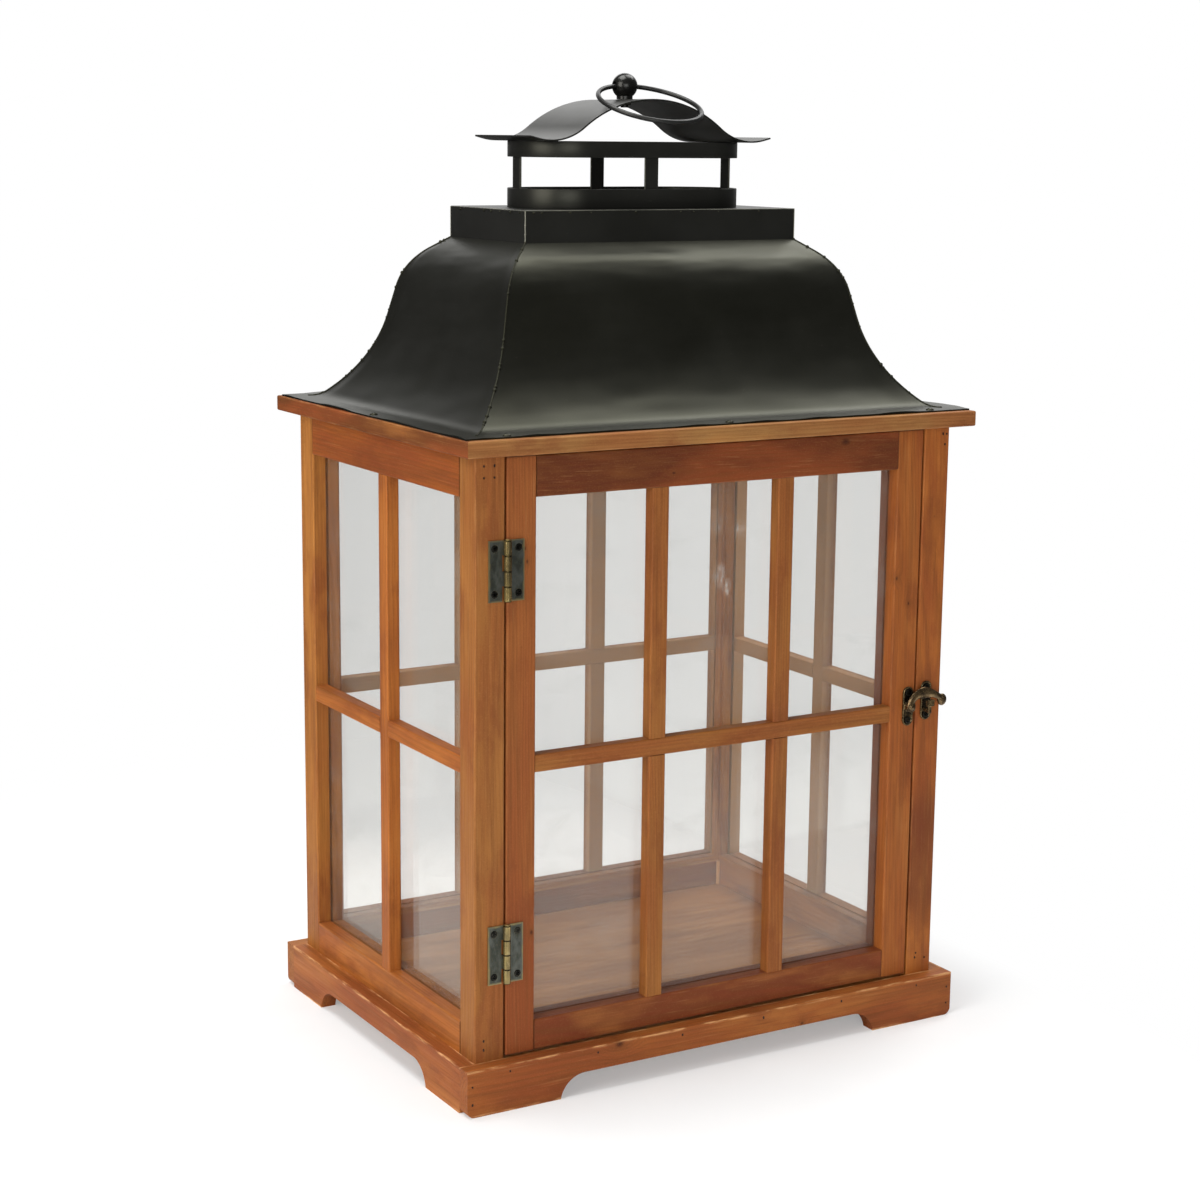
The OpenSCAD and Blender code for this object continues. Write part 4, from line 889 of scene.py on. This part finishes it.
# %% Cap
crest_z, cap_half = box["cap"][1][2], box["cap"][1][1]
CAP_TURN, CREST_R, HOLLOW_R, LIP_TURN, LIP, CAP_DENTS = 38.24, 82.17, 38.5, 14, 5.5, 0.5
half_cap = [(0.0, crest_z)]
bend(half_cap, 0, CAP_TURN, CREST_R)
bend(half_cap, CAP_TURN, 0, HOLLOW_R)
bend(half_cap, 0, -LIP_TURN, HOLLOW_R)
go_on(half_cap, -LIP_TURN, LIP)
cap_line = [(-x, 0, z) for x, z in reversed(half_cap)] + [(x, 0, z) for x, z in half_cap[1:]]
cap_mesh = sheet.cook(points_mesh(cap_line, linked=True), Across=2 * cap_half * MM, Away=0.0, Mitre=0.0,
                      Columns=40, Rows=160, Dents=CAP_DENTS * MM, Lift=0.0, Seed=8.0, Material=neck_paint)
cap_mesh.transform(Matrix.Rotation(math.radians(90), 4, "Z"))
piece("bent_cap", thick(cap_mesh), "cabinet", "roof_metal", "cap")
print("cap: from", round(cap_line[0][0], 1), "to", round(cap_line[-1][0], 1), "mm")

# %% [markdown]
# Two butt hinges hold the door. Each leaf is a stamped bronze plate whose edge is rubbed
# to brass, and its rolled knuckles are brass too. The pin has a small round head. The
# bevel carries the brass finish, and a zone round the pin's axis makes the knuckles.

# %% Hinges
KNUCKLE_ZONE, KNUCKLES = 2.75, 4
pin_x, pin_y = mid("hinge_pins", 0), mid("hinge_pins", 1)


def at_knuckle(middle):
    return math.hypot(middle[0] - pin_x, middle[1] - pin_y) < KNUCKLE_ZONE


for name in nodes:
    if name.endswith("_leaf"):
        low, high = box[name]
        leaf = aged_metal("bronze_" + name, "#5f625c", "#b5a470", "#41443d", worn=0.12, rise=2,
                          around=(low, high))
        knuckle = aged_metal("brass_" + name, "#b8a268", "#e0cf9a", "#6f6243", rough=0.13, worn=0.4, rise=5,
                             joints=(low[2], (high[2] - low[2]) / KNUCKLES))
        dress(name, leaf, 0.34, edge_metal, at_knuckle, knuckle)
dress("hinge_pins", pin_metal, 0.35)
print("hinges: 2, of 2 leaves and a pin each")

# %% [markdown]
# Every screw is the same few shapes turned and repeated: a head with a cross recess and a
# shank. One template is modelled for each kind, and a recipe puts it on points, facing
# one way and each turned by chance, as a hand driver leaves them.

# %% Screw templates
from mathutils.geometry import tessellate_polygon

CROSS_REACH, CROSS_TAPER = 0.62, 0.8


def screw_template(head_r, rings, recess, depth, shank_r, shank_l, steps=20):
    """A screw along Z. Rings are (radius share, height) from the rim to the flat top."""
    skin = bmesh.new()
    circle = [(math.cos(2 * math.pi * i / steps), math.sin(2 * math.pi * i / steps)) for i in range(steps)]

    def loop(points, z, scale=1.0):
        return [skin.verts.new((scale * x * MM, scale * y * MM, z * MM)) for x, y in points]

    loops = [loop(circle, z, shank_r) for z in (-shank_l, rings[0][1])]
    loops += [loop(circle, z, share * head_r) for share, z in rings]
    walls(skin, loops)
    skin.faces.new(list(reversed(loops[0])))
    h, reach = recess / 2, head_r * CROSS_REACH
    cross = [(h, h), (h, reach), (-h, reach), (-h, h), (-reach, h), (-reach, -h), (-h, -h), (-h, -reach),
             (h, -reach), (h, -h), (reach, -h), (reach, h)]
    top = rings[-1][1]
    rim, inner = loops[-1], loop(cross, top)
    corners = rim + inner
    for a, b, c in tessellate_polygon([[v.co for v in rim], [v.co for v in inner]]):
        skin.faces.new((corners[a], corners[b], corners[c]))
    sunk = loop(cross, top - depth, CROSS_TAPER)
    walls(skin, [inner, sunk])
    skin.faces.new(sunk)
    bmesh.ops.recalc_face_normals(skin, faces=skin.faces)
    return put("template", to_mesh(skin, "template", 35))


screws = Recipe("driven_fasteners", Template="Object", Facing="Vector", Spin="Float", Vary="Float",
                Seed="Int")
one = screws.node("GeometryNodeObjectInfo", inputs={"Object": screws["Template"], "As Instance": True},
                  out="Geometry")
placed = screws.node("GeometryNodeInstanceOnPoints", inputs={
    "Points": screws["Geometry"], "Instance": one, "Rotation": screws["Facing"],
    "Scale": screws.random(1 - screws["Vary"], 1.0, 4)})
chance = screws.random(-1 * screws["Spin"], screws["Spin"])
screws.end(screws.node("GeometryNodeRotateInstances", inputs={
    "Instances": placed, "Rotation": screws.join(0, 0, chance), "Local Space": True}), smooth=False)

# %% [markdown]
# Flat-head screws stand near the top and bottom of each hinge leaf and latch plate, and
# ride on the body that they are driven into. Pan-head screws hold the roof's flange to
# the cornice.

# %% Screws
FORWARD, BACKWARD, UPWARD = (math.pi / 2, 0, 0), (-math.pi / 2, 0, 0), (0, 0, 0)
SCREW_X, SCREW_Z, PLATE_SCREW_INSET = 8.1, 13.7, 3.85
LEAF_FACE, PLATE_FACE = 1.0, 1.15
FLANGE_SCREW_INSET, FLANGE_SCREW_END, SCREW_SPIN = 4.5, 29, 1.6
face_y = box["post_front_left"][0][1]
hinge_middles = [mid(f"{level}_hinge_post_leaf", 2) for level in ("lower", "upper")]


def driven(template, points, **how):
    return screws.cook(points_mesh(points), Template=template, **how)


def hinge_points(side):
    return [(pin_x + side * SCREW_X, face_y - LEAF_FACE, z + up * SCREW_Z) for z in hinge_middles
            for up in (-1, 1)]


def plate_points(name):
    return [(mid(name, 0), face_y - PLATE_FACE, z)
            for z in (box[name][0][2] + PLATE_SCREW_INSET, box[name][1][2] - PLATE_SCREW_INSET)]


flat_head = screw_template(2.35, ((0.55, -1.0), (0.97, -0.12), (1.0, -0.02), (0.86, 0.1)), 0.75, 0.9, 1.2, 12)
pan_head = screw_template(2.6, ((1.0, 0.0), (1.0, 0.35), (0.88, 0.85), (0.6, 1.2)), 0.8, 0.8, 1.35, 9)
for body, side, plate, replaced in (("cabinet", -1, "strike_plate", "post_screws"),
                                    ("door", 1, "latch_plate", "door_screws")):
    mesh = driven(flat_head, hinge_points(side) + plate_points(plate), Facing=FORWARD, Spin=SCREW_SPIN,
                  Vary=0.0, Seed=len(body), Material=screw_metal)
    piece(f"{body}_flat_screws", mesh, body, "screw_steel", replaced)

flange_z, screw_far = cornice_top + SHEET, rim_x - FLANGE_SCREW_END
on_flange = [(x, way * (rim_y - FLANGE_SCREW_INSET), flange_z)
             for x in (0.0, screw_far, -screw_far) for way in (-1, 1)]
on_flange += [(way * (rim_x - FLANGE_SCREW_INSET), 0, flange_z) for way in (-1, 1)]
mesh = driven(pan_head, on_flange, Facing=UPWARD, Spin=SCREW_SPIN, Vary=0.0, Seed=5,
              Material=roof_screw_metal)
piece("flange_screws", mesh, "cabinet", "roof_screw_steel", "roof_screws")
print("screws: 12 in plates and", len(on_flange), "in the roof flange")

# %% [markdown]
# The nails are brads with small squarish heads, set flush. Their places are read from the
# CAD node, whose separate solids are found by walking from point to point along edges.

# %% Nails
def nail_template(levels, steps=16):
    """A nail along Z from (half width, half height, z) levels, with squarish ovals."""
    skin = bmesh.new()

    def squarish(a):
        return math.copysign(abs(a) ** 0.5, a)

    bar(skin, [[skin.verts.new((w * squarish(math.cos(a)) * MM, h * squarish(math.sin(a)) * MM, z * MM))
                for a in [2 * math.pi * (i + 0.5) / steps for i in range(steps)]] for w, h, z in levels])
    return put("template", to_mesh(skin, "template"))


def solids_of(name):
    """The box of each separate solid of a CAD node, in millimetres, from left to right."""
    solid = bmesh.new()
    solid.from_mesh(nodes[name].data)
    bmesh.ops.remove_doubles(solid, verts=solid.verts, dist=SAME_POINT)
    found, left = [], set(solid.verts)
    while left:
        group, ahead = set(), [left.pop()]
        while ahead:
            here = ahead.pop()
            group.add(here)
            near = [edge.other_vert(here) for edge in here.link_edges]
            ahead += [v for v in near if v in left]
            left.difference_update(near)
        found.append([[pick(v.co[a] for v in group) / MM for a in range(3)] for pick in (min, max)])
    solid.free()
    return sorted(found)


brads = solids_of("brad_nails")
brad = nail_template(((0.3, 0.3, -14), (0.45, 0.45, -13), (0.45, 0.45, -0.35), (0.6, 0.95, -0.3),
                      (0.62, 1.0, 0.0), (0.5, 0.88, 0.06)))
nails = bmesh.new()
for facing, way in ((FORWARD, -1), (BACKWARD, 1)):
    heads = [((low[0] + high[0]) / 2, high[1] if way > 0 else low[1], (low[2] + high[2]) / 2)
             for low, high in brads if (low[1] + high[1]) * way > 0]
    nails.from_mesh(driven(brad, heads, Facing=facing, Spin=0.25, Vary=0.35, Seed=8, Material=brad_metal))
nails_mesh = to_mesh(nails, "nails")
nails_mesh.materials.append(brad_metal)
piece("set_brads", nails_mesh, "cabinet", "brad_steel", "brad_nails")
for template in (flat_head, pan_head, brad):
    bpy.data.objects.remove(template)
print("brads:", len(brads))

# %% [markdown]
# The latch is a little bronze casting: two oval plates with a raised rim round their
# screws, an arm with a fat middle and a round end, and a hook with a blunt head. Cast
# pieces have no sharp corners. Each is put together from simple rounded solids, which a
# remesh melts into one skin, and a few rounds of smoothing take off what is left.

# %% Cast shapes
ON_Y = Matrix.Rotation(math.radians(90), 4, "X")
DISH = 0.75


def at(point):
    """A move to a point given in millimetres."""
    return Matrix.Translation(Vector(point) * MM)


def plate_loft(name):
    """An oval plate, upright on the cabinet's face, with a raised rim, for a CAD plate."""
    low, high = box[name]
    half_w, half_h = (high[0] - low[0]) / 2, (high[2] - low[2]) / 2
    section = [(0.0, 0.0), (0.0, 0.8), (0.12, 1.05), (0.45, 1.2), (0.9, 1.15), (1.25, DISH + 0.1),
               (1.5, DISH)]
    mesh = oval_loft(half_h, half_w, section, False)
    mesh.transform(ON_Y @ Matrix.Rotation(math.radians(90), 4, "Z"))
    mesh.transform(at((mid(name, 0), face_y, mid(name, 2))))
    skin = bmesh.new()
    skin.from_mesh(mesh)
    return skin


def block(skin, point, halves, shape):
    """A ball or a cube at a point, with its three half sizes."""
    if shape == "ball":
        made = bmesh.ops.create_uvsphere(skin, u_segments=24, v_segments=14, radius=1)
    else:
        made = bmesh.ops.create_cube(skin, size=2)
    scale = Matrix.Diagonal([half * MM for half in halves]).to_4x4()
    bmesh.ops.transform(skin, matrix=at(point) @ scale, verts=made["verts"])


def disc(skin, point, back_r, front_r, depth):
    """A round block on Y, at a point."""
    made = bmesh.ops.create_cone(skin, cap_ends=True, segments=32, radius1=back_r * MM, radius2=front_r * MM,
                                 depth=depth * MM)
    bmesh.ops.transform(skin, matrix=at(point) @ ON_Y, verts=made["verts"])


def rod(skin, points, halves, steps=14):
    """A bar of oval section through points: halves are (sideways, front to back)."""
    loops = []
    for i, point in enumerate(points):
        ahead = Vector(points[min(i + 1, len(points) - 1)]) - Vector(points[max(i - 1, 0)])
        across = Vector((-ahead[2], 0, ahead[0])).normalized()
        wide, deep = halves[i]
        loops.append([skin.verts.new(
            (Vector(point) + across * wide * math.cos(a) + Vector((0, deep * math.sin(a), 0))) * MM)
            for a in [2 * math.pi * k / steps for k in range(steps)]])
    bar(skin, loops)


def cast(skin, grain, rounds):
    """Melts overlapping solids into one smooth skin."""
    bmesh.ops.recalc_face_normals(skin, faces=skin.faces)
    worker = put("worker", to_mesh(skin, "cast"))
    melt = worker.modifiers.new("melt", "REMESH")
    melt.mode, melt.voxel_size = "VOXEL", grain * MM
    soften = worker.modifiers.new("soften", "SMOOTH")
    soften.factor, soften.iterations = 0.5, rounds
    made = bake(worker)
    made.shade_smooth()
    return made


def bronze(name, mesh, metal, body, replaced):
    mesh.materials.clear()
    mesh.materials.append(metal)
    piece(name, mesh, body, "latch_bronze", replaced)


print("cast helpers ready")

# %% [markdown]
# The arm's middle line is a curve that rises from the rivet and comes down to the round
# end. Its section is fat near the middle and narrower at both ends, as in the casting.

# %% Latch plate, arm and rivet
ARM_BACK, ARM_T = 2.95, 2.0
ARM_REACH, KNOB_R, STEPS = 25.5, 3.2, 36
DARK, NOT_DARK = 0.85, 1.15
# The plates' hollows are darkened with grime and painted shade, the door plate's less so low down.
plate_metal, strike_metal = (
    aged_metal(name, "#8f7853", "#ecd4a0", "#4c3f2c", rough=0.16, worn=0.35,
               recess=(face_y, DARK, NOT_DARK, split))
    for name, split in (("plate_bronze", mid("latch_plate", 2) - 4), ("strike_bronze", 0)))
pivot = Vector((mid("latch_plate", 0), face_y, mid("latch_plate", 2)))
skin = plate_loft("latch_plate")
disc(skin, pivot + Vector((0, -1.4, 0)), 3.3, 2.9, 2.6)
bronze("latch_plate_cast", cast(skin, 0.2, 2), plate_metal, "door", "latch_plate")
reach = Vector((ARM_REACH, 0, 3.2))
bow = [Vector((0, 0, 0)), Vector((-1, 0, 9.6)), Vector((ARM_REACH * 0.55, 0, 12.2)), reach]
arm_middle = pivot + Vector((0, -ARM_BACK - ARM_T / 2, 0))


def along_arm(t):
    """A point of the arm's curve, from 0 at the rivet to 1 at the round end."""
    a, b, c, d = bow
    return arm_middle + (1 - t) ** 3 * a + 3 * t * (1 - t) ** 2 * b + 3 * t * t * (1 - t) * c + t ** 3 * d


ts = [i / STEPS for i in range(STEPS + 1)]
skin = bmesh.new()
rod(skin, [along_arm(t) for t in ts],
    [(3.0 - 0.9 * t + 1.5 * math.exp(-((t - 0.58) / 0.17) ** 2), 1.45) for t in ts])
block(skin, along_arm(1) + Vector((0.2, 0, -0.7)), (KNOB_R + 0.4, 2.1, KNOB_R + 0.9), "ball")
disc(skin, arm_middle, 3.4, 3.4, ARM_T)
bronze("latch_arm_cast", cast(skin, 0.24, 4), latch_metal, "latch", "latch_arm")
skin = bmesh.new()
block(skin, arm_middle + Vector((0, -1.35, 0)), (1.9, 1.1, 1.9), "ball")
block(skin, arm_middle + Vector((0, -1.2, 0)), (2.3, 0.75, 2.3), "ball")
bronze("latch_rivet_head", cast(skin, 0.2, 2), latch_metal, nodes["latch_rivet"]["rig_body"], "latch_rivet")
print("latch arm:", ARM_REACH, "mm from the rivet to its round end")

# %% [markdown]
# On the post, a root stands out of the strike plate, and a stem rises from it to a blunt
# head, behind which the arm drops to hold the door.

# %% Strike plate and hook
HOOK_Z, HOOK_BACK, HOOK_HALF, ROOT_RISE = 220.3, 5.55, 1.05, 7.0
stem_x, root_z = mid("strike_plate", 0) - 1.2, box["strike_plate"][0][2] + ROOT_RISE
hook_y = face_y - HOOK_BACK - HOOK_HALF
skin = plate_loft("strike_plate")
block(skin, (stem_x, face_y - 3.2, root_z), (1.5, 3.9, 1.5), "ball")
rod(skin, [(stem_x, hook_y, z) for z in (root_z - 1.3, root_z + 2, HOOK_Z - 1, HOOK_Z + 1)],
    [(1.5, 0.95), (1.35, 0.85), (1.35, 0.85), (1.6, 0.85)])
block(skin, (stem_x + 0.3, hook_y, HOOK_Z), (2.9, 1.0, 2.1), "cube")
bronze("strike_plate_cast", cast(skin, 0.2, 2), strike_metal, "cabinet", "strike_plate")
print("strike hook: head at", HOOK_Z, "mm")

# %% [markdown]
# A pale floor that keeps the lantern's shadow near it and fades to plain white further
# out, so that there is no line where the floor ends. The camera and rays through glass
# see that white as a glow of the floor, a painted light that also lightens the shadow
# near the lantern by a share and clears it at the right side. Black paint would mirror
# a white floor, so mirrored rays find it dark further out.

# %% Floor
FLOOR_HALF = 6.0


def floor_finish():
    f = Finish("pale_floor")
    x, y, z = f.place()
    away = (x * x + y * y) ** 0.5
    looked_at, mirrored, through = f.rays("Camera", "Glossy", "Transmission")
    pale = f.mix(f.noise(x, y, z, 40), (0.9, 0.905, 0.91, 1), (0.93, 0.935, 0.94, 1))
    behind = y * 0.845 - x * 0.53
    unlit = away.step(420, 1000) + behind.step(250, 700) * away.step(300, 600)
    pale = f.mix(mirrored * unlit.least(1), pale, (0.14, 0.14, 0.14, 1))
    lit = f.node("ShaderNodeBsdfPrincipled", inputs={
        "Base Color": pale, "Roughness": 1.0, "Specular IOR Level": 0.0})
    glow = f.node("ShaderNodeEmission", inputs={0: (1, 1, 1, 1), 1: 1.0})
    # Painted light: the white glow lightens the lantern's shadow by a share near it, fully further out, and
    # clears it at the right side.
    clear = 0.3 + away.step(300, 760) * 0.7 + x.step(195, 310) * 0.8
    both = f.node("ShaderNodeMixShader", inputs={0: clear.least(1) * (looked_at + through), 1: lit, 2: glow})
    f.node("ShaderNodeOutputMaterial", inputs={"Surface": both})
    return f.material


floor_mesh = bpy.data.meshes.new("floor")
floor_mesh.from_pydata([(x * FLOOR_HALF, y * FLOOR_HALF, 0) for x, y in ((-1, -1), (1, -1), (1, 1), (-1, 1))],
                       [], [(0, 1, 2, 3)])
floor_mesh.materials.append(floor_finish())
floor = put("floor", floor_mesh)
print("floor:", 2 * FLOOR_HALF, "m square")

# %% [markdown]
# Soft studio light: two broad lamps above, of which the one at the right lays the pale
# band on the roof's shoulder and flare, a large one at the left, and a weak one at the
# front. The room is white behind the lantern and dim in front of it, because black
# paint shows whatever stands before it. Their strengths add up to about one, so that a
# colour renders as it is written.

# %% Lamps and room
# Where each lamp stands, what it aims at, its size, its watts and its colour.
lamps = {"top_lamp": ((-0.45, 0.1, 2.1), (-0.05, 0, 0.3), (1.2, 1.0), 29, (1, 1, 1)),
         "band_lamp": ((0.93, 0.2, 2.0), (0, 0, 0.45), (0.9, 1.3), 22, (1, 1, 1)),
         "left_lamp": ((-2.1, -0.65, 1.05), (0, 0, 0.28), (1.3, 1.7), 36, (1, 0.97, 0.93)),
         "front_lamp": ((-0.8, -2.3, 0.8), (0, 0, 0.25), (1.5, 1.0), 18, (1, 1, 1))}
for name, (stand, aim, size, watts, colour) in lamps.items():
    light = bpy.data.lights.new(name, "AREA")
    light.shape, light.size, light.size_y = "RECTANGLE", *size
    light.energy, light.color = watts, colour
    holder = put(name, light)
    holder.location = stand
    holder.rotation_euler = (Vector(aim) - Vector(stand)).to_track_quat("-Z", "Y").to_euler()

world = bpy.data.worlds.new("room")
bpy.context.scene.world = world
world.use_nodes = True
room = Graph(world.node_tree)
x, y, z = room.split(room.node("ShaderNodeTexCoord", out="Generated"))
looked_at, mirrored, through = room.rays("Camera", "Glossy", "Transmission")
behind = (y * 0.86 + x * 0.5).step(0.74, 0.88)
studio = 0.15 + z.step(0.9, 1.0) * 0.3 + behind * 0.3
strength = (studio * (1 - mirrored * 0.3) + (1 - studio) * (looked_at + through)
            + mirrored * behind * z.step(0.1, 0.42) * 2.0)
light = room.node("ShaderNodeBackground", inputs={0: (1, 1, 1, 1), 1: strength})
room.node("ShaderNodeOutputWorld", inputs={"Surface": light})
print("lamps:", len(lamps))
